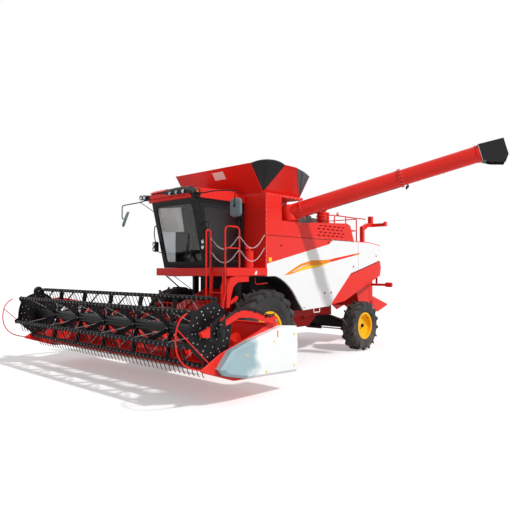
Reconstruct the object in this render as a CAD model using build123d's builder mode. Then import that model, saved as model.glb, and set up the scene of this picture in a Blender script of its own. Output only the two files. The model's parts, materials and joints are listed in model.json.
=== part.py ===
from build123d import *
import math
import os

# A combine harvester with a grain header, its header carried clear of the ground and its
# unloading tube swung out to the side.
#
# Millimetres. While it is modelled, +X is the machine's left, +Y its rear and +Z up, with the
# zero on the ground under the middle of the front axle. At the end everything is moved so that
# the zero lies on the ground under the middle of the whole machine.

os.makedirs("parts", exist_ok=True)

# ---------------------------------------------------------------- driving dimensions

# Clearances
SEAT = 0.3            # between faces that rest on each other
RUNNING = 0.05        # radial, between a shaft and its bore
FREE = 8.0            # between pieces that pass each other

# Wheels: a tyre's radius and width, its rim's flange radius, the height of its lugs, the lugs
# on each side of it, and its distance from the centre line
FRONT_RADIUS = 812
FRONT_WIDTH = 490
FRONT_RIM = 382
FRONT_LUG = 44
FRONT_LUGS = 18
FRONT_TRACK = 1340
REAR_RADIUS = 612
REAR_WIDTH = 378
REAR_RIM = 332
REAR_LUG = 34
REAR_LUGS = 16
REAR_TRACK = 1302
WHEELBASE = 3766
RIM_SHARE = 0.36      # rim half width as a share of the tyre's width
RIM_WALL = 14
TYRE_SIDES = 24       # flats round a tyre under its lugs
LUG_ROOT = 40         # how deep a lug is set into the tread

# Axles
AXLE_HALF = 900
AXLE_DEPTH = 250
SPINDLE_RADIUS = 60
REAR_SPINDLE_RADIUS = 38
KINGPIN_X = 960
KINGPIN_RADIUS = 25
STEER_ARM = 170
STEER_ROD_RADIUS = 16

# Body
BODY_HALF = 1250
PANEL = 40
FRONT_WALL_Y = 200
TANK_REAR_Y = 1460
REAR_Y = 5000
ARCH_Z = 1880         # underside of the full-width body over the front wheels
SEAM_Z = 2720
RIM_Z = 3600          # top rim of the grain tank
DECK_Z = 2740
HOUSING_HALF = 780

# Tank flaps
FLAP_LENGTH = 670
FLAP_LEAN = 35
FLAP = 12

# Platform and cab
PLATFORM_TOP = 2050
PLATFORM_THICK = 160
PLATFORM_FRONT = -955
PLATFORM_RIGHT = -840
WALKWAY_EDGE = 1300
CAB_HALF = 680
CAB_WALL = 50
CAB_TOP = 3400
CAB_REAR = 150
CAB_FOOT_Y = -870
CAB_BROW_Y = -1200
DOOR_HINGE_Y = 70

# Feeder and header
HINGE_Z = 1350
FEEDER_HALF = 450
HEADER_HALF = 2740
HEADER_SHEET = 30
HEADER_BACK = -1340
HEADER_TOP = 1150
KNIFE_Y = -2300
KNIFE_Z = 455
AUGER_Y = -1720
AUGER_Z = 720
AUGER_RADIUS = 280
AUGER_TUBE = 150
FLIGHT_PITCH = 560
FLIGHT_STEPS = 12      # flats in one turn of the auger's flight
FLIGHT = 6
REEL_Y = -2656
REEL_Z = 1111
REEL_RADIUS = 486
REEL_HALF = 2690
REEL_TUBE = 85
REEL_BARS = 6
TINE = 200
TINE_PITCH = 108
TINES = 48
TINE_LEAN = 25
BAR_SIDE = 36
ARM_PIVOT_Y = -1400
ARM_PIVOT_Z = 1200

# Unloading tube
ELBOW = (1050, 1200, 3260)
TUBE_RADIUS = 172
TUBE_OUTER_RADIUS = 165
TUBE_JOINT = 2480
TUBE_LENGTH = 4030
SPOUT_LENGTH = 470
TUBE_AZIMUTH = 23.5
TUBE_RISE = 15.0
FOLDED = (0.0587, 0.9967, 0.0558)

PIECES = []


# ---------------------------------------------------------------- small helpers

def face_on(plane, points):
    """A closed straight-sided face on a plane."""
    with BuildSketch(plane) as face:
        with BuildLine():
            Polyline(*points, close=True)
        make_face()
    return face.sketch


def side_prism(points, x_low, x_high, mode=Mode.ADD):
    """An outline of (y, z) points, drawn out from one x to another."""
    extrude(face_on(Plane.YZ.offset(x_low), points), amount=x_high - x_low, mode=mode)


def front_prism(points, y_low, y_high, mode=Mode.ADD):
    """An outline of (x, z) points, drawn out from one y to another."""
    extrude(face_on(Plane.XZ.offset(-y_low), points), amount=y_low - y_high, mode=mode)


def flat_prism(points, z_low, z_high, mode=Mode.ADD):
    """An outline of (x, y) points, drawn out from one z to another."""
    extrude(face_on(Plane.XY.offset(z_low), points), amount=z_high - z_low, mode=mode)


def block(x, y, z, mode=Mode.ADD):
    """A block between two values on each axis."""
    corners = [(x[0], y[0]), (x[1], y[0]), (x[1], y[1]), (x[0], y[1])]
    flat_prism(corners, z[0], z[1], mode)


def bar(start, end, radius, mode=Mode.ADD):
    """A round bar between two points."""
    run = Vector(*end) - Vector(*start)
    with BuildSketch(Plane(origin=start, z_dir=run)) as section:
        Circle(radius)
    extrude(section.sketch, amount=run.length, mode=mode)


def bent_tube(points, radius, bend):
    """A round tube along straight runs joined by arcs."""
    with BuildLine() as route:
        FilletPolyline(*points, radius=bend)
    with BuildSketch(Plane(origin=points[0], z_dir=route.line % 0)) as section:
        Circle(radius)
    sweep(section.sketch, path=route.line)


def along(origin, direction, distance):
    """The point at a distance from an origin, as a tuple."""
    return tuple(origin + direction * distance)


def finish(piece, label):
    """Name a finished piece and keep it for writing."""
    piece.part.label = label
    PIECES.append(piece.part)


def both(x_low, x_high):
    """The same span of x on the right and on the left."""
    return ((-x_high, -x_low), (x_low, x_high))


# ---------------------------------------------------------------- wheels

def tyre_solid(radius, width, rim, lug, lugs):
    """A tyre about the X axis, with chevron lugs that reach the tyre's radius."""
    tread = radius - lug
    wall = tread - rim
    # distance across from the middle, radius there
    half = [
        (RIM_SHARE * width - SEAT, rim + 12),
        (0.485 * width, rim + 0.5 * wall),
        (0.37 * width, tread),
    ]
    rings = [(-across, reach) for across, reach in half] + half[::-1]
    lug_bar = 0.085 * radius
    lug_sweep = 0.42 * width
    top = math.sqrt(radius ** 2 - (lug_sweep / 2 + lug_bar / 2) ** 2)
    with BuildPart() as tyre:
        for across, reach in rings:
            with BuildSketch(Plane.YZ.offset(across)):
                RegularPolygon(reach, TYRE_SIDES)
        loft(ruled=True)
        bar((-width, 0, 0), (width, 0, 0), rim - 2 * RIM_WALL + SEAT, Mode.SUBTRACT)
        lug_solids = []
        for side in (-1, 1):
            corners = [
                (side * 0.02 * width, -lug_sweep / 2 - lug_bar / 2),
                (side * 0.5 * width, lug_sweep / 2 - lug_bar / 2),
                (side * 0.5 * width, lug_sweep / 2 + lug_bar / 2),
                (side * 0.02 * width, -lug_sweep / 2 + lug_bar / 2),
            ]
            base = face_on(Plane.XY.offset(tread - LUG_ROOT), corners)
            solid = extrude(base, amount=top - tread + LUG_ROOT, mode=Mode.PRIVATE)
            for number in range(lugs):
                turn = 360 / lugs * (number + (0.5 if side > 0 else 0))
                lug_solids.append(solid.rotate(Axis.X, turn))
        add(lug_solids)
    return tyre.part


def rim_solid(rim, width, web, hub, bore):
    """A dished wheel rim about the X axis, its dish open towards +X."""
    half_rim = RIM_SHARE * width
    edge = half_rim + RIM_WALL
    barrel = rim - 2 * RIM_WALL
    inner = barrel - RIM_WALL
    outline = [
        (-edge, rim),
        (-edge, inner),
        (web - 12, inner),
        (web - 40, hub + 40),
        (-hub * 0.9, hub),
        (-hub * 0.9, bore),
        (hub * 0.5, bore),
        (hub * 0.5, 0),
        (hub * 0.62, 0),
        (hub * 0.62, hub * 0.62),
        (hub * 0.3, hub),
        (web - 20, hub + 46),
        (web + 12, inner - 20),
        (web + 40, inner),
        (edge, inner),
        (edge, rim),
        (half_rim, rim),
        (half_rim, barrel),
        (-half_rim, barrel),
        (-half_rim, rim),
    ]
    with BuildPart() as dish:
        revolve(face_on(Plane.XZ, outline), axis=Axis.X)
    return dish.part


FRONT_TYRE = tyre_solid(FRONT_RADIUS, FRONT_WIDTH, FRONT_RIM, FRONT_LUG, FRONT_LUGS)
REAR_TYRE = tyre_solid(REAR_RADIUS, REAR_WIDTH, REAR_RIM, REAR_LUG, REAR_LUGS)
FRONT_HUB = 120
REAR_HUB = 90
FRONT_DISH = rim_solid(FRONT_RIM, FRONT_WIDTH, 40, FRONT_HUB, SPINDLE_RADIUS + RUNNING)
REAR_DISH = rim_solid(REAR_RIM, REAR_WIDTH, 20, REAR_HUB, REAR_SPINDLE_RADIUS + RUNNING)

# name, side, tyre, rim, distance from the centre line, y, axle height
WHEELS = [
    ("front_left", 1, FRONT_TYRE, FRONT_DISH, FRONT_TRACK, 0, FRONT_RADIUS),
    ("front_right", -1, FRONT_TYRE, FRONT_DISH, FRONT_TRACK, 0, FRONT_RADIUS),
    ("rear_left", 1, REAR_TYRE, REAR_DISH, REAR_TRACK, WHEELBASE, REAR_RADIUS),
    ("rear_right", -1, REAR_TYRE, REAR_DISH, REAR_TRACK, WHEELBASE, REAR_RADIUS),
]
for name, side, tyre_shape, dish_shape, track, y, z in WHEELS:
    with BuildPart() as tyre:
        with Locations((side * track, y, z)):
            add(tyre_shape)
    finish(tyre, "tyre_" + name)
    with BuildPart() as rim:
        with Locations(Location((side * track, y, z), (0, 0, 0 if side > 0 else 180))):
            add(dish_shape)
    finish(rim, "rim_" + name)

# ---------------------------------------------------------------- axles and steering

HUB_START = FRONT_TRACK - 0.9 * FRONT_HUB    # inner end of a front hub
AXLE_TOP = FRONT_RADIUS + AXLE_DEPTH / 2

LIFT_BASE = (-190, 760)                      # y, z of the header cylinders' rear pins
LIFT_X = 330
LUG_X = 60                                   # from a cylinder's axis to each of its lugs

with BuildPart() as front_axle:
    block((-AXLE_HALF, AXLE_HALF), (-125, 125), (FRONT_RADIUS - AXLE_DEPTH / 2, AXLE_TOP))
    for side in (-1, 1):
        drive_start = side * AXLE_HALF
        drive_end = side * (HUB_START - FREE)
        bar((drive_start, 0, FRONT_RADIUS), (drive_end, 0, FRONT_RADIUS), 190)
        tip = side * (FRONT_TRACK + 50)
        bar((drive_end, 0, FRONT_RADIUS), (tip, 0, FRONT_RADIUS), SPINDLE_RADIUS)
        for wall in (-1, 1):
            x = side * LIFT_X + wall * LUG_X
            ear = [(-120, 700), (-120, 830), (-220, 800), (-240, 740), (-200, 700)]
            side_prism(ear, x - 12, x + 12)
        bar((side * LIFT_X - LUG_X - 12, *LIFT_BASE), (side * LIFT_X + LUG_X + 12, *LIFT_BASE), 20)
finish(front_axle, "front_axle")

ROD_Z = 506                                  # height of the steering rod and its arms
ARM_HALF = 16
with BuildPart() as rear_axle:
    beam = [(-905, 530), (905, 530), (905, 690), (400, 820), (-400, 820), (-905, 690)]
    front_prism(beam, WHEELBASE - 75, WHEELBASE + 75)
    for side in (-1, 1):
        x = side * KINGPIN_X
        bar((x, WHEELBASE, 530), (x, WHEELBASE, 690), 62)
        bar((x, WHEELBASE, 500), (x, WHEELBASE, 800), KINGPIN_RADIUS + RUNNING, Mode.SUBTRACT)
    rod_y = WHEELBASE - STEER_ARM
    bar((-230, rod_y, ROD_Z), (230, rod_y, ROD_Z), 42)
    for x in (-150, 150):
        block((x - 20, x + 20), (rod_y, WHEELBASE - 70), (ROD_Z - 36, 580))
    bar((-240, rod_y, ROD_Z), (240, rod_y, ROD_Z), STEER_ROD_RADIUS + RUNNING, Mode.SUBTRACT)
finish(rear_axle, "rear_axle")

with BuildPart() as steering_rod:
    bar((-870, rod_y, ROD_Z), (870, rod_y, ROD_Z), STEER_ROD_RADIUS)
    for side in (-1, 1):
        block(sorted((side * 855, side * 885)), (rod_y - 30, rod_y + 30), (ROD_Z - 34, ROD_Z + 34))
        for low in (ROD_Z - 34, ROD_Z + ARM_HALF + 6):
            block(sorted((side * 870, side * 985)), (rod_y - 30, rod_y + 30), (low, low + 12))
finish(steering_rod, "steering_rod")

for name, side in (("left", 1), ("right", -1)):
    x = side * KINGPIN_X
    with BuildPart() as knuckle:
        bar((x, WHEELBASE, 470), (x, WHEELBASE, 750), KINGPIN_RADIUS)
        for z in (490, 698):
            bar((x, WHEELBASE, z), (x, WHEELBASE, z + 32), 58)
            block(sorted((x, x + side * 100)), (WHEELBASE - 58, WHEELBASE + 58), (z, z + 32))
        block(sorted((x + side * 75, x + side * 112)), (WHEELBASE - 70, WHEELBASE + 70), (490, 730))
        tip = side * (REAR_TRACK + 35)
        bar((x + side * 100, WHEELBASE, REAR_RADIUS), (tip, WHEELBASE, REAR_RADIUS),
            REAR_SPINDLE_RADIUS)
        arm = [(x - 45, WHEELBASE), (x + 45, WHEELBASE), (x + 28, rod_y - 25), (x - 28, rod_y - 25)]
        flat_prism(arm, ROD_Z - ARM_HALF, ROD_Z + ARM_HALF)
        bar((x, WHEELBASE, 522), (x, WHEELBASE, 698), 60, Mode.SUBTRACT)
        bar((x, WHEELBASE, 470), (x, WHEELBASE, 750), KINGPIN_RADIUS)
    finish(knuckle, "knuckle_" + name)

# ---------------------------------------------------------------- chassis and lower body

RAIL_INNER = HOUSING_HALF + 10
RAIL_OUTER = RAIL_INNER + 90
RAIL_LOW = AXLE_TOP + SEAT
RAIL_TOP = RAIL_LOW + 150
EAR_INNER = FEEDER_HALF + 30
EAR_OUTER = EAR_INNER + 30
PIVOT_RADIUS = 40
HITCH_Y = WHEELBASE + 310
HITCH_RADIUS = 18
EYE_Y = 2100                                 # lashing eyes under the rails
EYE_Z = RAIL_LOW - 57
EYE_RADIUS = 25
EYE_PLATE = 30

with BuildPart() as chassis_frame:
    block((-RAIL_OUTER, RAIL_OUTER), (-110, 110), (RAIL_LOW, RAIL_LOW + 24))
    for low, high in both(RAIL_INNER, RAIL_OUTER):
        block((low, high), (-110, 2950), (RAIL_LOW, RAIL_TOP))
        middle = (low + high) / 2
        plate = [(EYE_Y - 60, RAIL_LOW + 10), (EYE_Y + 60, RAIL_LOW + 10), (EYE_Y + 50, EYE_Z - 35),
                 (EYE_Y - 50, EYE_Z - 35)]
        side_prism(plate, middle - EYE_PLATE / 2, middle + EYE_PLATE / 2)
        bar((low, EYE_Y, EYE_Z), (high, EYE_Y, EYE_Z), EYE_RADIUS, Mode.SUBTRACT)
    for low, high in both(EAR_INNER, EAR_OUTER):
        ear = [(-110, RAIL_LOW), (110, RAIL_LOW), (80, HINGE_Z + 70), (-80, HINGE_Z + 70)]
        side_prism(ear, low, high)
        bar((low - 5, 0, HINGE_Z), (high + 5, 0, HINGE_Z), PIVOT_RADIUS + RUNNING, Mode.SUBTRACT)
    block((-RAIL_OUTER, RAIL_OUTER), (2910, 3010), (RAIL_LOW, RAIL_TOP - 40))
    for low, high in both(240, 330):
        sub = [(2980, RAIL_LOW), (2980, RAIL_TOP - 40), (3500, 1290), (4100, 1420), (4100, 1330),
               (3600, 1180)]
        side_prism(sub, low, high)
    for low, high in both(240, 330):
        side_prism([(3600, 1190), (3600, 820 + SEAT), (3930, 820 + SEAT), (3930, 1385)], low, high)
    block((-330, 330), (3600, 3930), (820 + SEAT, 860))
    block((-60, 60), (3880, 3930), (560, 860))
    for z in (560, 640):
        block((-60, 60), (3925, HITCH_Y + 50), (z, z + 25))
    bar((0, HITCH_Y, 550), (0, HITCH_Y, 680), HITCH_RADIUS, Mode.SUBTRACT)
finish(chassis_frame, "chassis_frame")

with BuildPart() as threshing_housing:
    outline = [(FRONT_WALL_Y + 50, ARCH_Z - SEAT), (FRONT_WALL_Y + 50, 1130), (900, 960),
               (1250, 680), (2300, 680), (2880, 1110), (3500, 1300), (4200, 1450),
               (4200, ARCH_Z - SEAT)]
    side_prism(outline, -HOUSING_HALF, HOUSING_HALF)
    block((-450, 450), (FRONT_WALL_Y + 40, 420), (1160, 1560), Mode.SUBTRACT)
finish(threshing_housing, "threshing_housing")

SKIN_HALF = BODY_HALF - PANEL - SEAT
RECESS = ((800, 1300), (720, 1500), (2980, 3550))

with BuildPart() as grain_tank:
    block((-SKIN_HALF, SKIN_HALF), (FRONT_WALL_Y, TANK_REAR_Y), (ARCH_Z, RIM_Z))
    block((-BODY_HALF, BODY_HALF), (FRONT_WALL_Y, FRONT_WALL_Y + PANEL - SEAT), (ARCH_Z, RIM_Z))
    hopper = [(-1150, RIM_Z + 5), (-1150, 3000), (-300, 2080), (300, 2080), (740, 2560),
              (740, 3565), (1150, 3592), (1150, RIM_Z + 5)]
    front_prism(hopper, FRONT_WALL_Y + 60, TANK_REAR_Y - 60, Mode.SUBTRACT)
    block(*RECESS, Mode.SUBTRACT)
finish(grain_tank, "grain_tank")

HOOD_HALF = 1170
CHEEK_HALF = 1205
HOOD_FRONT = (4200 + SEAT, 1600)             # y, z of the hood's sloping underside
HOOD_BACK = (4990, 1880)


def under_hood(y):
    """The height just under the hood's sloping underside."""
    climb = (HOOD_BACK[1] - HOOD_FRONT[1]) / (HOOD_BACK[0] - HOOD_FRONT[0])
    return HOOD_FRONT[1] + (y - HOOD_FRONT[0]) * climb - SEAT


with BuildPart() as rear_body:
    block((-SKIN_HALF, SKIN_HALF), (TANK_REAR_Y + SEAT, 3600), (ARCH_Z, DECK_Z - PANEL - SEAT))
    hood = [(3590, ARCH_Z), (HOOD_FRONT[0], ARCH_Z), HOOD_FRONT, HOOD_BACK,
            (REAR_Y + 40, 2080), (REAR_Y, 2290), (REAR_Y - 20, 2640), (4400, DECK_Z - PANEL - SEAT),
            (3590, DECK_Z - PANEL - SEAT)]
    side_prism(hood, -HOOD_HALF, HOOD_HALF)
    cheek = [(2500, 1180), (2850, 1420), (3460, 1890), (3770, 1960), (4985, 2255),
             (REAR_Y + 40, 2080), (4990, 1860), (3200, 1240), (2600, 1180)]
    for low, high in both(HOOD_HALF - 1, CHEEK_HALF):
        side_prism(cheek, low, high)
finish(rear_body, "rear_body")

with BuildPart() as lower_side_panels:
    for low, high in both(BODY_HALF - PANEL, BODY_HALF):
        with BuildSketch(Plane.YZ.offset(low)) as panel:
            with BuildLine():
                Polyline((530, ARCH_Z), (FRONT_WALL_Y + PANEL, ARCH_Z),
                         (FRONT_WALL_Y + PANEL, SEAM_Z - 5), (4380, SEAM_Z - 5), (4960, 2650),
                         (4975, 2290), (3770, 2000), (3440, 1930), (2850, 1450), (2510, 1160),
                         (1470, 1120), (1240, 1380))
                ThreePointArc((1240, 1380), (930, 1690), (530, ARCH_Z))
            make_face()
        extrude(panel.sketch, amount=high - low)
        x = (low + high) / 2
        bent_tube([(x, 1880, 1150), (x, 1880, 1045), (x, 2112, 1045), (x, 2112, 1160)], 11, 30)
finish(lower_side_panels, "lower_side_panels")

with BuildPart() as upper_side_panels:
    for low, high in both(BODY_HALF - PANEL, BODY_HALF):
        upper = [(FRONT_WALL_Y + PANEL, SEAM_Z), (FRONT_WALL_Y + PANEL, RIM_Z),
                 (TANK_REAR_Y, RIM_Z), (TANK_REAR_Y, 3550), (720, 3550), (720, 3050),
                 (1500, 3050), (1880, 3090), (3270, 3160), (3420, 3110), (3600, SEAM_Z)]
        if high < 0:
            upper = [(FRONT_WALL_Y + PANEL, SEAM_Z), (FRONT_WALL_Y + PANEL, RIM_Z),
                     (TANK_REAR_Y, RIM_Z), (TANK_REAR_Y, 3070), (1880, 3090), (3270, 3160),
                     (3420, 3110), (3600, SEAM_Z)]
        side_prism(upper, low, high)
        for row in range(4):
            for column in range(6):
                y = 2020 + 190 * column + 70 * (row % 2)
                z = 2800 + 75 * row
                block((low - 5, high + 5), (y, y + 110), (z, z + 26), Mode.SUBTRACT)
finish(upper_side_panels, "upper_side_panels")

with BuildPart() as engine_deck:
    block((-SKIN_HALF, SKIN_HALF), (TANK_REAR_Y + SEAT, 4400), (DECK_Z - PANEL, DECK_Z))
    side_prism([(4400, DECK_Z - PANEL), (4400, DECK_Z), (REAR_Y - 20, 2680),
                (REAR_Y - 20, 2640 + SEAT)], -SKIN_HALF, SKIN_HALF)
    rail_y = (3750, 4850)
    for x in (-1000, 560):
        route = [(x, rail_y[0], DECK_Z - 5), (x, rail_y[0], 3450), (x, rail_y[1], 3450),
                 (x, rail_y[1], 2660)]
        bent_tube(route, 17, 90)
        bar((x, rail_y[0], 3100), (x, rail_y[1], 3100), 14)
        bar((x, 4300, DECK_Z - 5), (x, 4300, 3450), 14)
    bar((-1000, rail_y[1], 3430), (560, rail_y[1], 3430), 14)
    bar((-1000, rail_y[1], 3100), (560, rail_y[1], 3100), 14)
finish(engine_deck, "engine_deck")

with BuildPart() as engine_block:
    block((-420, 420), (1950, 3250), (DECK_Z + SEAT, 3330))
    for y in (2120, 2380, 2640, 2900):
        block((-300, 300), (y, y + 180), (3330, 3400))
    bar((-420, 2100, 3050), (-560, 2100, 3050), 130)
finish(engine_block, "engine_block")

with BuildPart() as cooling_box:
    block((-1190, -760), (2050, 3150), (DECK_Z + SEAT, 3560))
    bar((-1200, 2600, 3160), (-1180, 2600, 3160), 360)
finish(cooling_box, "cooling_box")

with BuildPart() as air_intake:
    x, y = 780, 2850
    bar((x, y, DECK_Z + SEAT), (x, y, 3210), 70)
    bar((x, y, 3200), (x, y, 3580), 115)
    for z in (3240, 3320, 3400, 3480, 3560):
        bar((x, y, z), (x, y, z + 24), 132)
    bar((x, y, 3120), (x - 250, y + 600, 3120), 55)
    bar((x - 250, y + 600, DECK_Z + SEAT), (x - 250, y + 600, 3500), 62)
finish(air_intake, "air_intake")

with BuildPart() as straw_chopper:
    chopper = [(4250, under_hood(4250)), (4250, 1500), (4420, 1050), (4900, 1050), (5120, 1250),
               (5120, 1700), (4960, under_hood(4960))]
    side_prism(chopper, -900, 900)
    side_prism([(5100, 1250), (5120, 1290), (5960, 1030), (5950, 995)], -900, 900)
    for x in (-894, -450, 0, 450, 894):
        side_prism([(5100, 1255), (5950, 998), (5380, 834), (5100, 1000)], x - 6, x + 6)
finish(straw_chopper, "straw_chopper")

with BuildPart() as front_mudguards:
    for low, high in both(900, SKIN_HALF):
        with BuildSketch(Plane.YZ.offset(low)) as liner:
            with BuildLine():
                Polyline((-350, ARCH_Z - SEAT - 14), (-350, ARCH_Z - SEAT), (530, ARCH_Z - SEAT))
                ThreePointArc((530, ARCH_Z - SEAT), (930, 1690), (1240, 1380))
                Polyline((1240, 1380), (1470, 1120), (1456, 1110), (1226, 1372))
                ThreePointArc((1226, 1372), (920, 1676), (525, ARCH_Z - SEAT - 14))
                Line((525, ARCH_Z - SEAT - 14), (-350, ARCH_Z - SEAT - 14))
            make_face()
        extrude(liner.sketch, amount=high - low)
finish(front_mudguards, "front_mudguards")

# ---------------------------------------------------------------- tank flaps

RISE = FLAP_LENGTH * math.cos(math.radians(FLAP_LEAN))
REACH = FLAP_LENGTH * math.sin(math.radians(FLAP_LEAN))
FLAP_X = 1160
FLAP_FRONT = FRONT_WALL_Y + 20
FLAP_REAR = TANK_REAR_Y - 20
FLAP_FOOT = RIM_Z + SEAT
SIDE_FLAP = (480, 850)                # y span of a side flap's top edge


def fan(foot, first, second, bulge, thickness):
    """A sheet between three points whose far edge bows outwards."""
    along = Vector(*first) - Vector(*foot)
    across = Vector(*second) - Vector(*foot)
    plane = Plane(origin=foot, x_dir=along, z_dir=along.cross(across))
    near = plane.to_local_coords(Vector(*first))
    far = plane.to_local_coords(Vector(*second))
    crown = (near + far) * 0.5 * (1 + bulge / ((near + far) * 0.5).length)
    with BuildSketch(plane) as sheet:
        with BuildLine():
            Line((0, 0), (near.X, near.Y))
            ThreePointArc((near.X, near.Y), (crown.X, crown.Y), (far.X, far.Y))
            Line((far.X, far.Y), (0, 0))
        make_face()
    extrude(sheet.sketch, amount=thickness)


FLAP_TOP = FLAP_FOOT + RISE
with BuildPart() as tank_extension:
    for sign, foot in ((-1, FLAP_FRONT), (1, FLAP_REAR)):
        base = [(foot, FLAP_FOOT), (foot + sign * REACH, FLAP_TOP),
                (foot + sign * REACH - sign * FLAP, FLAP_TOP), (foot - sign * FLAP, FLAP_FOOT)]
        side_prism(base, -FLAP_X, FLAP_X)
    for side in (-1, 1):
        lean = Plane(origin=(side * FLAP_X, 0, FLAP_FOOT), x_dir=(0, 1, 0),
                     z_dir=(side * RISE, 0, -REACH))
        sheet = face_on(lean, [(FLAP_FRONT + 16, 0), (FLAP_REAR - 16, 0),
                               (SIDE_FLAP[1], side * FLAP_LENGTH),
                               (SIDE_FLAP[0], side * FLAP_LENGTH)])
        extrude(sheet, amount=-FLAP)
finish(tank_extension, "tank_extension")

with BuildPart() as tank_corner_skirts:
    for side in (-1, 1):
        for sign, foot_y, top_y in ((-1, FLAP_FRONT, SIDE_FLAP[0]), (1, FLAP_REAR, SIDE_FLAP[1])):
            edge = side * (FLAP_X + SEAT)
            foot = (edge, foot_y, FLAP_FOOT + 12)
            first = (edge, foot_y + sign * REACH, FLAP_TOP)
            second = (side * (FLAP_X + REACH), top_y + sign * SEAT, FLAP_TOP)
            outward = side * sign
            fan(foot, first, second, 60, outward * 6)
finish(tank_corner_skirts, "tank_corner_skirts")

# ---------------------------------------------------------------- platform, ladder and rails

PLATFORM_LOW = PLATFORM_TOP - PLATFORM_THICK
with BuildPart() as platform:
    block((PLATFORM_RIGHT, WALKWAY_EDGE), (PLATFORM_FRONT, FRONT_WALL_Y - SEAT),
          (PLATFORM_LOW, PLATFORM_TOP))
    block((PLATFORM_RIGHT + 60, WALKWAY_EDGE - 40), (PLATFORM_FRONT + 60, FRONT_WALL_Y - 60),
          (PLATFORM_LOW - 1, PLATFORM_TOP - 40), Mode.SUBTRACT)
    for low, high in both(620, 700):
        block((low, high), (-70, 70), (RAIL_LOW + 24 + SEAT, PLATFORM_TOP - 30))
        strut = [(-70, 1500), (-70, 1400), (-890, PLATFORM_LOW), (-890, PLATFORM_LOW + 60),
                 (-800, PLATFORM_LOW + 60)]
        side_prism(strut, low, low + 40 if low > 0 else high)
    mudguard = [(-350 - SEAT, PLATFORM_LOW + 5), (-700, PLATFORM_LOW + 5), (-860, 1860),
                (-950, 1700), (-955, 1500), (-965, 1300), (-880, 1300), (-843, 1517), (-779, 1689),
                (-659, 1774), (-385, 1780), (-350 - SEAT, 1780)]
    side_prism(mudguard, 1120, WALKWAY_EDGE)
finish(platform, "platform")

STILE_Y = PLATFORM_FRONT - 28
RAIL = 16
LOOP_X = 875
OUTER_RAIL_X = 1282
with BuildPart() as ladder:
    for x in (925, 1245):
        side_prism([(PLATFORM_FRONT - SEAT, 1960), (STILE_Y - 30, 1960), (STILE_Y - 100, 600),
                    (STILE_Y - 40, 600)], x - 8, x + 8)
    for number in range(4):
        z = 640 + 310 * number
        y = STILE_Y - 68 + 70 * (z - 600) / 1360
        block((925, 1245), (y - 60, y + 20), (z, z + 24))
    front, back = STILE_Y - 105, STILE_Y + 5
    bent_tube([(LOOP_X, front, 2000), (LOOP_X, front, 2770), (LOOP_X, back, 2770),
               (LOOP_X, back, 1420), (LOOP_X, front, 1420), (LOOP_X, front, 1990)], RAIL, 48)
    bar((LOOP_X, front, 1985), (LOOP_X, front, 2005), RAIL)
    for z in (1930, 2010):
        block((LOOP_X - 10, LOOP_X + 10), (back, PLATFORM_FRONT - SEAT), (z - 10, z + 10))
    front, back = STILE_Y, STILE_Y + 380
    bent_tube([(OUTER_RAIL_X, front - 60, 1380), (OUTER_RAIL_X, front, 1560),
               (OUTER_RAIL_X, front, 2830), (OUTER_RAIL_X, back, 2830),
               (OUTER_RAIL_X, back, PLATFORM_TOP + SEAT)], RAIL, 90)
    bar((OUTER_RAIL_X, front, 2420), (OUTER_RAIL_X, back, 2420), 12)
    block((OUTER_RAIL_X - 10, OUTER_RAIL_X + 10), (front, PLATFORM_FRONT - SEAT), (1960, 1980))
finish(ladder, "ladder")

POST_Y = STILE_Y + 380
CHAIN = 8
CHAIN_RUNS = 7        # straight runs that a hanging chain is made of
CHAIN_HOOK = 18


def chain(start, end, out_way, in_way, sag):
    """A chain hung between two hooks, as straight runs, with the way each hook points."""
    first = Vector(*start) + Vector(*out_way) * CHAIN_HOOK
    last = Vector(*end) - Vector(*in_way) * CHAIN_HOOK
    points = [start]
    for step in range(CHAIN_RUNS + 1):
        share = step / CHAIN_RUNS
        x, y, z = tuple(first + (last - first) * share)
        points.append((x, y, z - 4 * sag * share * (1 - share)))
    with BuildLine() as route:
        Polyline(*points, end)
    with BuildSketch(Plane(origin=start, z_dir=out_way)) as section:
        RegularPolygon(CHAIN, 6)
    sweep(section.sketch, path=route.line, transition=Transition.RIGHT)


with BuildPart() as guard_chains:
    reach = RAIL + SEAT
    for top in (2600, 2340):
        chain((LOOP_X + reach, STILE_Y + 5, top), (OUTER_RAIL_X, POST_Y - reach, top + 40),
              (1, 0, 0), (0, 1, 0), 220)
        chain((OUTER_RAIL_X, POST_Y + reach, top + 40),
              (WALKWAY_EDGE - 75, FRONT_WALL_Y - SEAT, top + 110), (0, 1, 0), (0, 1, 0), 240)
finish(guard_chains, "guard_chains")

with BuildPart() as fire_extinguisher:
    bar((1150, -180, PLATFORM_TOP + SEAT), (1150, -180, 2390), 80)
    bar((1150, -180, 2390), (1150, -180, 2440), 30)
    block((1135, 1165), (-300, -150), (2430, 2460))
finish(fire_extinguisher, "fire_extinguisher")

# ---------------------------------------------------------------- cab

CAB_FLOOR = PLATFORM_TOP + SEAT
CAB_LEAN = math.atan2(CAB_FOOT_Y - CAB_BROW_Y, CAB_TOP - CAB_FLOOR)


def screen_y(z, inward):
    """The y of a line parallel to the windscreen, a distance inside it, at one height."""
    return CAB_FOOT_Y + inward / math.cos(CAB_LEAN) - (z - CAB_FLOOR) * math.tan(CAB_LEAN)


def screen_band(low, high, outer, inner):
    """The (y, z) outline of a slab parallel to the windscreen."""
    return [(screen_y(low, outer), low), (screen_y(high, outer), high),
            (screen_y(high, inner), high), (screen_y(low, inner), low)]


def side_pane(low, high, front, rear):
    """The (y, z) outline of a side pane whose front edge follows the windscreen."""
    return [(screen_y(low, front), low), (screen_y(high, front), high), (rear, high), (rear, low)]


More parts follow.
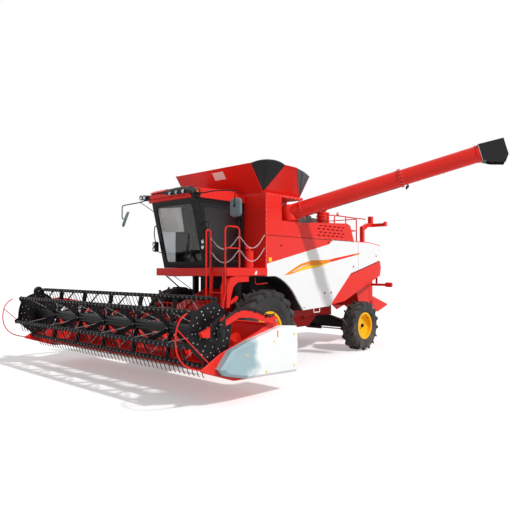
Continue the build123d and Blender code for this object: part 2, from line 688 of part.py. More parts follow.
DOOR_LOW = CAB_FLOOR + 60
DOOR_HIGH = CAB_TOP - 60
DOOR_FRONT = 75                       # in from the windscreen's face
DOOR_REAR = CAB_REAR - 80
WALL_IN = CAB_HALF - CAB_WALL
SCREEN_HALF = CAB_HALF - 70
SCREEN_LOW = CAB_FLOOR + 80
SCREEN_HIGH = CAB_TOP - 60
HINGE_X = CAB_HALF + 20
HINGE_LEVELS = (2320, 3080)
BARREL = 60
GLASS = 8

ROOF_LOW = CAB_TOP + SEAT
ROOF_HALF = 715
VISOR_Y = CAB_BROW_Y - 60
ROOF_BROW = (CAB_BROW_Y + 60, 3590)   # y, z of the roof's front and top corners
ROOF_CREST = (-300, 3630)


def roof_top(y):
    """The roof's height at one y, in front of its crest."""
    climb = (ROOF_CREST[1] - ROOF_BROW[1]) / (ROOF_CREST[0] - ROOF_BROW[0])
    return ROOF_BROW[1] + (y - ROOF_BROW[0]) * climb



with BuildPart() as cab_frame:
    side_prism(side_pane(CAB_FLOOR, CAB_TOP, 0, CAB_REAR), -CAB_HALF, CAB_HALF)
    side_prism(side_pane(CAB_FLOOR + 40, CAB_TOP - 40, CAB_WALL, CAB_REAR - CAB_WALL),
               -WALL_IN, WALL_IN, Mode.SUBTRACT)
    side_prism(screen_band(SCREEN_LOW, SCREEN_HIGH, -20, CAB_WALL + 20),
               -SCREEN_HALF, SCREEN_HALF, Mode.SUBTRACT)
    side_prism(side_pane(DOOR_LOW, DOOR_HIGH, DOOR_FRONT, DOOR_REAR),
               WALL_IN - 5, CAB_HALF + 5, Mode.SUBTRACT)
    side_prism(side_pane(DOOR_LOW, DOOR_HIGH, DOOR_FRONT, DOOR_REAR),
               -CAB_HALF - 5, -WALL_IN + 5, Mode.SUBTRACT)
    front_prism([(-500, 2800), (500, 2800), (500, 3300), (-500, 3300)],
                CAB_REAR - CAB_WALL - 5, CAB_REAR + 5, Mode.SUBTRACT)
    for level in HINGE_LEVELS:
        for low, high in ((level - 25, level - 1), (level + BARREL + 1, level + BARREL + 25)):
            block((CAB_HALF - 5, HINGE_X + 14), (DOOR_HINGE_Y + 2, DOOR_HINGE_Y + 30), (low, high))
            bar((HINGE_X, DOOR_HINGE_Y, low), (HINGE_X, DOOR_HINGE_Y, high), 14)
        bar((HINGE_X, DOOR_HINGE_Y, level - 25), (HINGE_X, DOOR_HINGE_Y, level + BARREL + 25), 8)
    visor = [(VISOR_Y - SEAT, ROOF_LOW + 61), (VISOR_Y - 70, ROOF_LOW + 70),
             (VISOR_Y - 60, ROOF_LOW + 150), (VISOR_Y + 40, ROOF_LOW + 225),
             (VISOR_Y + 119, ROOF_LOW + 225), (VISOR_Y + 119, 3592)]
    side_prism(visor, -560, 560)
finish(cab_frame, "cab_frame")

with BuildPart() as cab_glass:
    side_prism(screen_band(SCREEN_LOW + SEAT, SCREEN_HIGH - SEAT, 14, 14 + GLASS),
               -SCREEN_HALF + SEAT, SCREEN_HALF - SEAT)
    pane = side_pane(DOOR_LOW + SEAT, DOOR_HIGH - SEAT, DOOR_FRONT + SEAT, DOOR_REAR - SEAT)
    side_prism(pane, -CAB_HALF + 14, -CAB_HALF + 14 + GLASS)
    front_prism([(-500 + SEAT, 2800 + SEAT), (500 - SEAT, 2800 + SEAT), (500 - SEAT, 3300 - SEAT),
                 (-500 + SEAT, 3300 - SEAT)], CAB_REAR - 22, CAB_REAR - 22 + GLASS)
finish(cab_glass, "cab_glass")

with BuildPart() as door_frame:
    side_prism(side_pane(DOOR_LOW + FREE, DOOR_HIGH - FREE, DOOR_FRONT + FREE, DOOR_REAR - FREE),
               WALL_IN + 2, CAB_HALF - 2)
    side_prism(side_pane(DOOR_LOW + 70, DOOR_HIGH - 70, DOOR_FRONT + 70, DOOR_REAR - 70),
               WALL_IN, CAB_HALF, Mode.SUBTRACT)
    for level in HINGE_LEVELS:
        block((CAB_HALF - 12, HINGE_X + 6), (DOOR_REAR - 50, DOOR_REAR - FREE - 2),
              (level, level + BARREL))
        block((HINGE_X - 8, HINGE_X + 6), (DOOR_REAR - 40, DOOR_HINGE_Y), (level, level + BARREL))
        bar((HINGE_X, DOOR_HINGE_Y, level), (HINGE_X, DOOR_HINGE_Y, level + BARREL), 14)
        bar((HINGE_X, DOOR_HINGE_Y, level - 5), (HINGE_X, DOOR_HINGE_Y, level + BARREL + 5),
            8 + RUNNING, Mode.SUBTRACT)
    handle_y = screen_y(2700, DOOR_FRONT + 40)
    for z in (2600, 2800):
        block((CAB_HALF - 6, CAB_HALF + 40), (handle_y - 8, handle_y + 8), (z - 8, z + 8))
    block((CAB_HALF + 26, CAB_HALF + 42), (handle_y - 8, handle_y + 8), (2592, 2808))
finish(door_frame, "door_frame")

with BuildPart() as door_glass:
    pane = side_pane(DOOR_LOW + 70 + SEAT, DOOR_HIGH - 70 - SEAT, DOOR_FRONT + 70 + SEAT,
                     DOOR_REAR - 70 - SEAT)
    side_prism(pane, CAB_HALF - 22, CAB_HALF - 22 + GLASS)
finish(door_glass, "door_glass")

with BuildPart() as cab_roof:
    side_prism([(CAB_BROW_Y - 50, ROOF_LOW), (CAB_BROW_Y - 60, ROOF_LOW + 60),
                ROOF_BROW, ROOF_CREST, (CAB_REAR + 20, 3560),
                (CAB_REAR + 20, ROOF_LOW)], -ROOF_HALF, ROOF_HALF)
finish(cab_roof, "cab_roof")

STEER_HUB = Vector(0, -555, 2755)
STEER_FOOT = Vector(0, -780, CAB_FLOOR + 60)
STEER_AXIS = (STEER_HUB - STEER_FOOT).normalized()
COLUMN_PIN = 12
WHEEL_DEEP = 22
with BuildPart() as driver_station:
    block((-200, 200), (-420, -40), (CAB_FLOOR + 40 + SEAT, 2430))
    block((-370, -260), (-560, 0), (CAB_FLOOR + 40 + SEAT, 2640))
    block((-70, 70), (-825, -690), (CAB_FLOOR + 40 + SEAT, CAB_FLOOR + 60))
    bar(tuple(STEER_FOOT), along(STEER_HUB, STEER_AXIS, -SEAT), 45)
    bar(along(STEER_HUB, STEER_AXIS, -30), along(STEER_HUB, STEER_AXIS, WHEEL_DEEP), COLUMN_PIN)
finish(driver_station, "driver_station")

with BuildPart() as steering_wheel:
    with BuildSketch(Plane(origin=tuple(STEER_HUB), z_dir=STEER_AXIS)) as ring:
        Circle(190)
        Circle(165, mode=Mode.SUBTRACT)
        Rectangle(350, 30)
        Rectangle(30, 350)
        Circle(40)
        Circle(COLUMN_PIN + RUNNING, mode=Mode.SUBTRACT)
    extrude(ring.sketch, amount=WHEEL_DEEP)
finish(steering_wheel, "steering_wheel")

with BuildPart() as seat:
    block((-240, 240), (-460, 20), (2430 + SEAT, 2540))
    side_prism([(-60, 2540), (20, 2540), (110 - 45, 3100), (0, 3110)], -230, 230)
finish(seat, "seat")

def mirror_head(middle, turn):
    """A rounded mirror head, turned about the upright from facing straight back."""
    across = (math.cos(turn), math.sin(turn), 0)
    with BuildSketch(Plane(origin=middle, x_dir=across, z_dir=(across[1], -across[0], 0))) as head:
        RectangleRounded(280, 345, 60)
    extrude(head.sketch, amount=30, both=True)


with BuildPart() as mirrors:
    bent_tube([(ROOF_HALF + SEAT, -1120, 3480), (800, -1120, 3480), (1100, -1060, 3500),
               (1500, -930, 3480), (1500, -930, 3300)], 12, 60)
    mirror_head((1500, -930, 3162), 0)
    bent_tube([(-ROOF_HALF - SEAT, -1090, 3530), (-800, -1090, 3530), (-1060, -1220, 3450),
               (-1500, -1380, 3400), (-1500, -1380, 3200)], 12, 50)
    bar((-CAB_HALF - 6, -1090, 3200), (-1060, -1220, 3450), 8)
    mirror_head((-1500, -1380, 3157), math.radians(-30))
finish(mirrors, "mirrors")

# Lamp sets: x, y, z of each round lamp's middle
with BuildPart() as lamps:
    for x in (-200, 0, 200):
        seat_y = VISOR_Y - 65 - SEAT
        bar((x, seat_y, ROOF_LOW + 110), (x, seat_y - 26, ROOF_LOW + 113.3), 36)
    for x in (-890, -785):
        bar((x, -1320, 3490), (x, -1200, 3490), 45)
    block((-900, -ROOF_HALF - SEAT), (-1210, -1160), (3470, 3510))
    for side in (-1, 1):
        x = side * 770
        block(sorted((x - side * 60, x + side * 60)), (-1060, -980), (2400, 2600))
        for z in (2445, 2550):
            bar((x, -1085, z), (x, -1060, z), 45)
        start_y = screen_y(2900, 40)
        block(sorted((side * (CAB_HALF + SEAT), side * 720)), (start_y - 12, start_y + 12),
              (2860, 2900))
        block(sorted((side * 700, side * 722)), (-1020, start_y + 12), (2880, 2900))
        block(sorted((side * 700, side * 722)), (-1020, -1000), (2600 - 10, 2900))
        block(sorted((side * 940, side * 1400)), (4930, 4990), (1575, 1645))
        block(sorted((side * 1385, side * 1575)), (4915, 5005), (1548, 1678))
        hanger = [(4940, 1630), (4980, 1630), (4980, under_hood(4980)), (4940, under_hood(4940))]
        side_prism(hanger, *sorted((side * 1090, side * 1140)))
    beacon = roof_top(-1080 + 45) + SEAT
    bar((620, -1080, beacon), (620, -1080, beacon + 100), 45)
finish(lamps, "lamps")

# ---------------------------------------------------------------- unloading tube

AZIMUTH = math.radians(TUBE_AZIMUTH)
CLIMB = math.radians(TUBE_RISE)
OUT = Vector(math.cos(AZIMUTH) * math.cos(CLIMB), math.sin(AZIMUTH) * math.cos(CLIMB),
             math.sin(CLIMB))
SLEW = OUT.cross(Vector(*FOLDED)).normalized()
BASE = Vector(*ELBOW)

with BuildPart() as unloader_supports:
    block((1010, 1100), (4270, 4370), (DECK_Z + SEAT, 3120))
    side_prism([(4270, 3060), (4270, 3150), (4560, 3262), (4900, 3262), (4900, 3190), (4600, 3180),
                (4370, 3060)], 1010, 1100)
    front_prism([(960, 3180), (1475, 3180), (1475, 3300), (1445, 3300), (1420, 3262),
                 (1060, 3262), (1060, 3465), (960, 3465)], 4780, 4900)
    bar(along(BASE, SLEW, -212), along(BASE, SLEW, -190 - SEAT), 200)
    bar(along(BASE, SLEW, -240), along(BASE, SLEW, -205), 130)
    foot = along(BASE, SLEW, -240)
    bar((foot[0], foot[1], RECESS[2][0] + SEAT), foot, 90)
finish(unloader_supports, "unloader_supports")

with BuildPart() as unloader_tube:
    bar(along(BASE, SLEW, -190), along(BASE, SLEW, 150), 185)
    bar(along(BASE, OUT, 0), along(BASE, OUT, TUBE_JOINT), TUBE_RADIUS)
    bar(along(BASE, OUT, TUBE_JOINT - 5), along(BASE, OUT, TUBE_LENGTH), TUBE_OUTER_RADIUS)
    for distance in (300, TUBE_JOINT - 26, TUBE_JOINT + 4):
        bar(along(BASE, OUT, distance), along(BASE, OUT, distance + 22), TUBE_RADIUS + 26)
finish(unloader_tube, "unloader_tube")

with BuildPart() as unloader_spout:
    side_axis = Vector(0, 0, 1).cross(OUT).normalized()
    middle = Plane(origin=along(BASE, OUT, TUBE_LENGTH + SEAT), x_dir=OUT, z_dir=-side_axis)
    outer = face_on(middle, [(0, 160), (SPOUT_LENGTH, 130), (SPOUT_LENGTH, -200),
                             (SPOUT_LENGTH - 90, -330), (150, -250), (0, -160)])
    extrude(outer, amount=160, both=True)
    inner = face_on(middle, [(20, 148), (SPOUT_LENGTH - 12, 118), (SPOUT_LENGTH - 12, -205),
                             (SPOUT_LENGTH - 96, -345), (150, -270), (20, -160)])
    extrude(inner, amount=148, both=True, mode=Mode.SUBTRACT)
finish(unloader_spout, "unloader_spout")

# ---------------------------------------------------------------- feeder and header

LIFT_EYE = (-1080, 505)               # y, z of the cylinders' front pins
FEEDER_FRONT = HEADER_BACK + SEAT
with BuildPart() as feeder_house:
    shell = [(80, HINGE_Z + 250), (60, HINGE_Z - 220), (FEEDER_FRONT, 440), (FEEDER_FRONT, 1010)]
    side_prism(shell, -FEEDER_HALF, FEEDER_HALF)
    hollow = [(90, HINGE_Z + 215), (90, HINGE_Z - 175), (FEEDER_FRONT - 1, 480),
              (FEEDER_FRONT - 1, 975)]
    side_prism(hollow, -FEEDER_HALF + 40, FEEDER_HALF - 40, Mode.SUBTRACT)
    for side in (-1, 1):
        bar((side * (FEEDER_HALF - 5), 0, HINGE_Z), (side * (EAR_OUTER + 5), 0, HINGE_Z),
            PIVOT_RADIUS)
        x = side * LIFT_X
        for wall in (-1, 1):
            ear = [(-990, 615), (-1190, 517), (-1120, 465), (-1040, 465)]
            side_prism(ear, x + wall * LUG_X - 12, x + wall * LUG_X + 12)
        bar((x - LUG_X - 12, *LIFT_EYE), (x + LUG_X + 12, *LIFT_EYE), 14)
finish(feeder_house, "feeder_house")

LIFT_RUN = Vector(0, LIFT_EYE[0] - LIFT_BASE[0], LIFT_EYE[1] - LIFT_BASE[1])
LIFT_LENGTH = LIFT_RUN.length
LIFT_DIR = LIFT_RUN.normalized()
LIFT_BORE = 25
with BuildPart() as lift_barrels:
    for side in (-1, 1):
        x = side * LIFT_X
        origin = Vector(x, *LIFT_BASE)
        bar(along(origin, LIFT_DIR, 30), along(origin, LIFT_DIR, 570), 42)
        bar(along(origin, LIFT_DIR, 540), along(origin, LIFT_DIR, 580), 50)
        bar((x - 28, *LIFT_BASE), (x + 28, *LIFT_BASE), 40)
        bar((x - 30, *LIFT_BASE), (x + 30, *LIFT_BASE), 20 + RUNNING, Mode.SUBTRACT)
        bar(along(origin, LIFT_DIR, 280), along(origin, LIFT_DIR, 590), LIFT_BORE + RUNNING,
            Mode.SUBTRACT)
finish(lift_barrels, "lift_barrels")

with BuildPart() as lift_rods:
    for side in (-1, 1):
        x = side * LIFT_X
        origin = Vector(x, *LIFT_BASE)
        bar(along(origin, LIFT_DIR, 350), along(origin, LIFT_DIR, LIFT_LENGTH - 40), LIFT_BORE)
        bar((x - 24, *LIFT_EYE), (x + 24, *LIFT_EYE), 46)
        bar((x - 26, *LIFT_EYE), (x + 26, *LIFT_EYE), 34, Mode.SUBTRACT)
finish(lift_rods, "lift_rods")

TROUGH = AUGER_RADIUS + 22


def about_auger(degrees, radius):
    """The (y, z) point at an angle and a distance round the auger."""
    turn = math.radians(degrees)
    return (AUGER_Y + radius * math.cos(turn), AUGER_Z + radius * math.sin(turn))


with BuildPart() as header_table:
    with BuildSketch(Plane.YZ.offset(-HEADER_HALF)) as section:
        with BuildLine():
            Line((KNIFE_Y, KNIFE_Z), about_auger(250, TROUGH))
            ThreePointArc(about_auger(250, TROUGH), about_auger(300, TROUGH),
                          about_auger(0, TROUGH))
            Polyline(about_auger(0, TROUGH), (AUGER_Y + TROUGH, HEADER_TOP - 40),
                     (HEADER_BACK - 110, HEADER_TOP), (HEADER_BACK, HEADER_TOP),
                     (HEADER_BACK, 340), (-1750, 335), (KNIFE_Y, KNIFE_Z - 20), (KNIFE_Y, KNIFE_Z))
        make_face()
    extrude(section.sketch, amount=2 * HEADER_HALF)
    block((-410, 410), (-1560, HEADER_BACK + 5), (480, 960), Mode.SUBTRACT)
    guard_y = HEADER_BACK - 40
    for number in range(11):
        x = -200 + 140 * number
        block((x - 8, x + 8), (guard_y - 8, guard_y + 8), (HEADER_TOP - 5, 1370))
    for z in (1260, 1360):
        block((-208, 1208), (guard_y - 9, guard_y + 9), (z, z + 16))
finish(header_table, "header_table")

END_IN = HEADER_HALF + SEAT
END_OUT = END_IN + HEADER_SHEET
AUGER_SHAFT = 30
PIVOT_PIN = 25
ARM_IN = END_OUT + 20
ARM_OUT = ARM_IN + 60
with BuildPart() as header_ends:
    for side in (-1, 1):
        low, high = sorted((side * END_IN, side * END_OUT))
        sheet = [(-2900, 590), (-2250, 372), (HEADER_BACK, 332), (-1245, 345), (-1245, 1100),
                 (-1310, 1180), (-1350, 1260), (-1450, 1260), (-1500, 1130), (-1700, 1045),
                 (-2528, 790), (-2716, 695), (-2900, 600)]
        side_prism(sheet, low, high)
        bar((low - 5, AUGER_Y, AUGER_Z), (high + 5, AUGER_Y, AUGER_Z), AUGER_SHAFT + RUNNING,
            Mode.SUBTRACT)
        pivot = (side * (END_OUT - 10), ARM_PIVOT_Y, ARM_PIVOT_Z)
        bar(pivot, (side * (ARM_OUT + 20), ARM_PIVOT_Y, ARM_PIVOT_Z), PIVOT_PIN)
        x = side * (END_IN + HEADER_SHEET / 2)
        bent_tube([(x, -2870, 600), (x, -3120, 665), (x, -3315, 860), (x, -3350, 1080),
                   (x, -3290, 1290), (x, -3160, 1405)], 14, 90)
        bar((x, -3325, 1225), (x, -2730, 667), 10)
finish(header_ends, "header_ends")

with BuildPart() as drive_cover:
    cover = [(-2640, 590), (-2540, 490), (-2110, 390), (-1360, 350), (-900, 330), (-870, 760),
             (-890, 1080), (-1240, 1110), (-2000, 950), (-2420, 830)]
    side_prism(cover, END_OUT + SEAT, END_OUT + 150)
    lower = drive_cover.faces().sort_by(Axis.X)[-1].edges()
    chamfer(lower, 45)
    block((END_OUT - 5, END_OUT + 45), (-1240 + 5, -860), (300, 1120), Mode.SUBTRACT)
finish(drive_cover, "drive_cover")

with BuildPart() as cutterbar:
    block((-HEADER_HALF, HEADER_HALF), (KNIFE_Y - 40, KNIFE_Y - SEAT),
          (KNIFE_Z - 17, KNIFE_Z - 5))
    for number in range(36):
        x = -HEADER_HALF + 76 + 152 * number
        side_prism([(KNIFE_Y - 38, KNIFE_Z - 17), (KNIFE_Y - 38, KNIFE_Z + 3),
                    (KNIFE_Y - 110, KNIFE_Z - 3), (KNIFE_Y - 110, KNIFE_Z - 9)], x - 12, x + 12)
finish(cutterbar, "cutterbar")



def auger_flight(start, length, hand):
    """A screw flight wound on the auger's tube, away from the middle."""
    turn = 2 * math.pi / FLIGHT_STEPS
    inner = (AUGER_TUBE + SEAT) / math.cos(turn / 2)
    with BuildPart() as flight:
        for step in range(int(length / FLIGHT_PITCH * FLIGHT_STEPS) + 1):
            across = hand * (start + FLIGHT_PITCH * step / FLIGHT_STEPS)
            reach = Vector(0, math.cos(turn * step), math.sin(turn * step))
            middle = Vector(across, AUGER_Y, AUGER_Z) + reach * ((inner + AUGER_RADIUS) / 2)
            with BuildSketch(Plane(origin=middle, x_dir=(1, 0, 0), z_dir=reach.cross(Vector(1, 0, 0)))):
                Rectangle(FLIGHT, AUGER_RADIUS - inner)
        loft(ruled=True)
    return flight.part


with BuildPart() as header_auger:
    bar((-2700, AUGER_Y, AUGER_Z), (2700, AUGER_Y, AUGER_Z), AUGER_TUBE)
    bar((-END_OUT, AUGER_Y, AUGER_Z), (END_OUT, AUGER_Y, AUGER_Z), AUGER_SHAFT)
    for number in range(10):
        y, z = about_auger(100 * number, 270)
        x = 75 * number - 337
        bar((x, AUGER_Y, AUGER_Z), (x, y, z), 8)
    for hand in (-1, 1):
        add(auger_flight(450, 2200, hand))
finish(header_auger, "header_auger")


def about_reel(number, radius, across=0):
    """The (y, z) point on a reel arm, out from the shaft and off to one side of it."""
    turn = math.radians(20 + 360 / REEL_BARS * number)
    return (REEL_Y + radius * math.cos(turn) - across * math.sin(turn),
            REEL_Z + radius * math.sin(turn) + across * math.cos(turn))


JOURNAL = 14
FORK = BAR_SIDE * 0.5 * math.sqrt(2) + 7
SHAFT = 35
with BuildPart() as reel_rotor:
    bar((-2640, REEL_Y, REEL_Z), (2640, REEL_Y, REEL_Z), REEL_TUBE)
    bar((-ARM_OUT - 5, REEL_Y, REEL_Z), (ARM_OUT + 5, REEL_Y, REEL_Z), SHAFT)
    star = []
    for number in range(REEL_BARS):
        star += [about_reel(number, 70, -34), about_reel(number, REEL_RADIUS + 22, -FORK - 14),
                 about_reel(number, REEL_RADIUS + 22, -FORK),
                 about_reel(number, REEL_RADIUS - FORK, -FORK),
                 about_reel(number, REEL_RADIUS - FORK, FORK),
                 about_reel(number, REEL_RADIUS + 22, FORK),
                 about_reel(number, REEL_RADIUS + 22, FORK + 14), about_reel(number, 70, 34)]
    for x in (-1800, -900, 0, 900, 1800):
        side_prism(star, x - 5, x + 5)
    plate = []
    for number in range(REEL_BARS):
        for turn, reach in ((-24, 415), (-8, 430), (-4, 512), (4, 512), (8, 430), (24, 415)):
            plate.append(about_reel(number + turn * REEL_BARS / 360, reach))
    for side in (-1, 1):
        low, high = sorted((side * (REEL_HALF - 8), side * REEL_HALF))
        side_prism(plate, low, high)
        for number in range(REEL_BARS):
            y, z = about_reel(number, REEL_RADIUS)
            bar((low - 5, y, z), (high + 5, y, z), JOURNAL + RUNNING, Mode.SUBTRACT)
finish(reel_rotor, "reel_rotor")

for number in range(REEL_BARS):
    y, z = about_reel(number, REEL_RADIUS)
    half = BAR_SIDE / 2
    with BuildPart() as tine_bar:
        block((-2650, 2650), (y - half, y + half), (z - half, z + half))
        bar((-REEL_HALF, y, z), (REEL_HALF, y, z), JOURNAL)
        tip = (y + TINE * math.sin(math.radians(TINE_LEAN)),
               z - TINE * math.cos(math.radians(TINE_LEAN)))
        tines = []
        for step in range(TINES):
            x = (step - TINES / 2 + 0.5) * TINE_PITCH
            face = face_on(Plane.YZ.offset(x - 4), [(y - 8, z - half + 2), (y + 8, z - half + 2), tip])
            tines.append(extrude(face, amount=8, mode=Mode.PRIVATE))
        add(tines)
    finish(tine_bar, f"tine_bar_{number + 1}")

with BuildPart() as reel_arms:
    for side in (-1, 1):
        low, high = sorted((side * ARM_IN, side * ARM_OUT))
        arm = [(ARM_PIVOT_Y + 55, ARM_PIVOT_Z - 30), (ARM_PIVOT_Y + 45, ARM_PIVOT_Z + 50),
               (-1940, 1375), (-2110, 1400), (-2270, 1388), (REEL_Y - 324, REEL_Z + 25),
               (REEL_Y - 288, REEL_Z - 39), (REEL_Y - 60, REEL_Z - 60), (REEL_Y + 60, REEL_Z - 60),
               (REEL_Y + 110, REEL_Z + 70), (-2230, 1300), (-1960, 1285),
               (ARM_PIVOT_Y - 20, ARM_PIVOT_Z - 55)]
        side_prism(arm, low, high)
        if side > 0:
            bar((high - 5, REEL_Y, REEL_Z), (high + 60, REEL_Y, REEL_Z), 75)
        for y, z, hole in ((ARM_PIVOT_Y, ARM_PIVOT_Z, PIVOT_PIN), (REEL_Y, REEL_Z, SHAFT)):
            bar((low - 10, y, z), (high + 10, y, z), hole + RUNNING, Mode.SUBTRACT)
finish(reel_arms, "reel_arms")

# ---------------------------------------------------------------- writing the pieces

boxes = [piece.bounding_box() for piece in PIECES]
low = [min(tuple(box.min)[axis] for box in boxes) for axis in range(3)]
high = [max(tuple(box.max)[axis] for box in boxes) for axis in range(3)]
origin = ((low[0] + high[0]) / 2, (low[1] + high[1]) / 2, low[2])
print("zero of the written pieces:", [round(value, 3) for value in origin])
print("size:", [round(b - a, 1) for a, b in zip(low, high)])
for piece in PIECES:
    moved = piece.moved(Location((-origin[0], -origin[1], -origin[2])))
    moved.label = piece.label
    export_step(moved, f"parts/{piece.label}.step")
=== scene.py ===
# %% [markdown]
# # A combine harvester, dressed piece by piece
# The CAD frame already holds every moving body at its real place. This lesson adds what a
# frame leaves plain: paint, dust, glass, bent wire tines, chain links, bolts and cushions.
# Every length below is in millimetres in the machine's own axes, +X to its left, +Y to its
# rear and +Z up, with zero on the ground under the front axle, and one helper turns it into
# the frame's metres.

# %% Load the frame
import json
import math
import bmesh
import bpy
from mathutils import Matrix, Vector


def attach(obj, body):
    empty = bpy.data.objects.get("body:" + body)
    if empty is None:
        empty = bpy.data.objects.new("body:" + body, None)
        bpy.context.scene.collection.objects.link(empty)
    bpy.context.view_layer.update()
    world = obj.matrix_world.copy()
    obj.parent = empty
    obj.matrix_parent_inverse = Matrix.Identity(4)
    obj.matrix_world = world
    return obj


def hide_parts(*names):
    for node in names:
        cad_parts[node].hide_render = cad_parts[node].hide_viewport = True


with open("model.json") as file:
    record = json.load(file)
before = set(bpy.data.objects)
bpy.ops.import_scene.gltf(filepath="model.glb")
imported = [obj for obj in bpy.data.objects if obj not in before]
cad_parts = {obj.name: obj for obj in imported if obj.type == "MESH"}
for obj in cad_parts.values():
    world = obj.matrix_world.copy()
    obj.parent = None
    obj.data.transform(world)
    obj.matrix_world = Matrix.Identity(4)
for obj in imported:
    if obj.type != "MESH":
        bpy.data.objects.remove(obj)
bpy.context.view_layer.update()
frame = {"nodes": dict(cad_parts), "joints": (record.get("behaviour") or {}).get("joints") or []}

joints = {joint["name"]: joint for joint in frame["joints"]}
left_hub, right_hub = (Vector(joints[f"front_{side}_spin"]["pos_m"]) for side in ("left", "right"))
FRONT_RADIUS = 812
ZERO = (left_hub + right_hub) / 2 - Vector((0, 0, FRONT_RADIUS / 1000))


def at(x, y, z):
    """A point given in machine millimetres, in the frame's metres."""
    return ZERO + Vector((x, y, z)) / 1000


def linked(name, data):
    """A new object on the scene."""
    made = bpy.data.objects.new(name, data)
    bpy.context.collection.objects.link(made)
    return made


def evaluated(thing):
    """The plain mesh of an object, with its curve or its modifiers worked out."""
    bpy.context.view_layer.update()
    ready = thing.evaluated_get(bpy.context.evaluated_depsgraph_get())
    return bpy.data.meshes.new_from_object(ready)


print("machine zero in the frame:", [round(v, 4) for v in ZERO])

# %% [markdown]
# ## Nodes
# Every material, the sky and each repeating layout is a net of nodes. Wiring them one link at
# a time would bury what they do, so a few helpers take numbers or sockets alike.

# %% Node helpers
def fill(tree, made, inputs):
    """Link or set a node's inputs, each given by its name or number."""
    for place, value in inputs.items():
        if isinstance(value, bpy.types.NodeSocket):
            tree.links.new(value, made.inputs[place])
        else:
            made.inputs[place].default_value = value


def node(tree, kind, inputs={}, **settings):
    """A new node with its settings made and its inputs filled."""
    made = tree.nodes.new(kind)
    for name, value in settings.items():
        setattr(made, name, value)
    fill(tree, made, inputs)
    return made


def maths(tree, what, first, second):
    """The result of a math node."""
    return node(tree, "ShaderNodeMath", {0: first, 1: second}, operation=what).outputs[0]


def ranged(tree, value, low, high, to_low=0.0, to_high=1.0):
    """A value carried from one range to another, clamped."""
    return node(tree, "ShaderNodeMapRange", {"Value": value, "From Min": low, "From Max": high,
                                             "To Min": to_low, "To Max": to_high}).outputs[0]


def noise_of(tree, vector, scale, detail=3.0, rough=0.55):
    """The value of a noise on a vector."""
    return node(tree, "ShaderNodeTexNoise", {"Vector": vector, "Scale": scale, "Detail": detail,
                                             "Roughness": rough}).outputs["Fac"]


def blended(tree, share, first, second, how="MIX"):
    """A colour mix of sockets or plain colours."""
    first, second = ((*colour, 1) if isinstance(colour, tuple) else colour for colour in (first, second))
    return node(tree, "ShaderNodeMix", {0: share, 6: first, 7: second}, data_type="RGBA",
                blend_type=how, clamp_factor=True).outputs[2]


def axes_of(tree, vector):
    """The X, Y and Z of a vector, as sockets."""
    return node(tree, "ShaderNodeSeparateXYZ", {0: vector}).outputs


def own_place(tree):
    """The piece's own coordinates."""
    return node(tree, "ShaderNodeTexCoord").outputs["Object"]


print("node helpers ready")

# %% [markdown]
# ## Camera, floor and light
# The machine stands in open sun straight to its left, so its flank is bright and its front
# lies in shade. One soft sun and an even white sky give that, at a level where a
# colour shows about as it is written. The floor is diffuse and keeps the shadow, and only
# what the camera sees of it is lifted towards white.

# %% Camera
LENS, TILT, HEADING = 36.534, 1.579, 42.112
CAMERA_SPOT = at(8189, -7769, 2000)
camera = bpy.data.cameras.new("Camera")
camera.lens = LENS
camera.sensor_width = 36
camera_object = linked("Camera", camera)
camera_object.location = CAMERA_SPOT
camera_object.rotation_euler = (math.radians(90 + TILT), 0, math.radians(HEADING))
bpy.context.scene.camera = camera_object
bpy.context.scene.view_settings.view_transform = "Standard"
print("camera at", [round(v, 3) for v in CAMERA_SPOT])

# %% Sky and sun
SKY_LEVEL, SUN_LEVEL, SUN_ANGLE = 0.42, 2.45, 3
SUN_WAY = Vector((1.0, 0.02, 1.03)).normalized()
world = bpy.data.worlds.new("Sky")
bpy.context.scene.world = world
world.use_nodes = True
sky = world.node_tree
ray = node(sky, "ShaderNodeLightPath").outputs
seen = maths(sky, "MAXIMUM", ray["Is Camera Ray"], ray["Is Transmission Ray"])
seen_or_mirrored = maths(sky, "MAXIMUM", seen, ray["Is Glossy Ray"])
fill(sky, sky.nodes["Background"],
     {"Color": (1, 1, 1, 1), "Strength": ranged(sky, seen_or_mirrored, 0, 1, SKY_LEVEL, 1.0)})
sun = bpy.data.lights.new("Sun", "SUN")
sun.energy = SUN_LEVEL
sun.angle = math.radians(SUN_ANGLE)
linked("Sun", sun).rotation_euler = SUN_WAY.to_track_quat("Z", "Y").to_euler()
print("sun height in degrees:", round(math.degrees(math.asin(SUN_WAY.z)), 1))

# %% Floor
FLOOR_REACH, FLOOR_GREY, FLOOR_LIFT = 90, 0.80, 0.32
floor_mesh = bpy.data.meshes.new("Floor")
floor_corners = [(x * FLOOR_REACH, y * FLOOR_REACH, 0) for x, y in ((-1, -1), (1, -1), (1, 1), (-1, 1))]
floor_mesh.from_pydata(floor_corners, [], [(0, 1, 2, 3)])
floor = linked("Floor", floor_mesh)
floor_paint = bpy.data.materials.new("Pale floor")
floor_paint.use_nodes = True
tree = floor_paint.node_tree
tree.nodes.clear()
camera_ray = node(tree, "ShaderNodeLightPath").outputs["Is Camera Ray"]
diffuse = node(tree, "ShaderNodeBsdfDiffuse", {"Color": (FLOOR_GREY, FLOOR_GREY, FLOOR_GREY, 1)})
lift = node(tree, "ShaderNodeEmission", {"Strength": ranged(tree, camera_ray, 0, 1, 0, FLOOR_LIFT)})
both = node(tree, "ShaderNodeAddShader", {0: diffuse.outputs[0], 1: lift.outputs[0]})
node(tree, "ShaderNodeOutputMaterial", {"Surface": both.outputs[0]})
floor_mesh.materials.append(floor_paint)
print("floor reaches", FLOOR_REACH, "m")

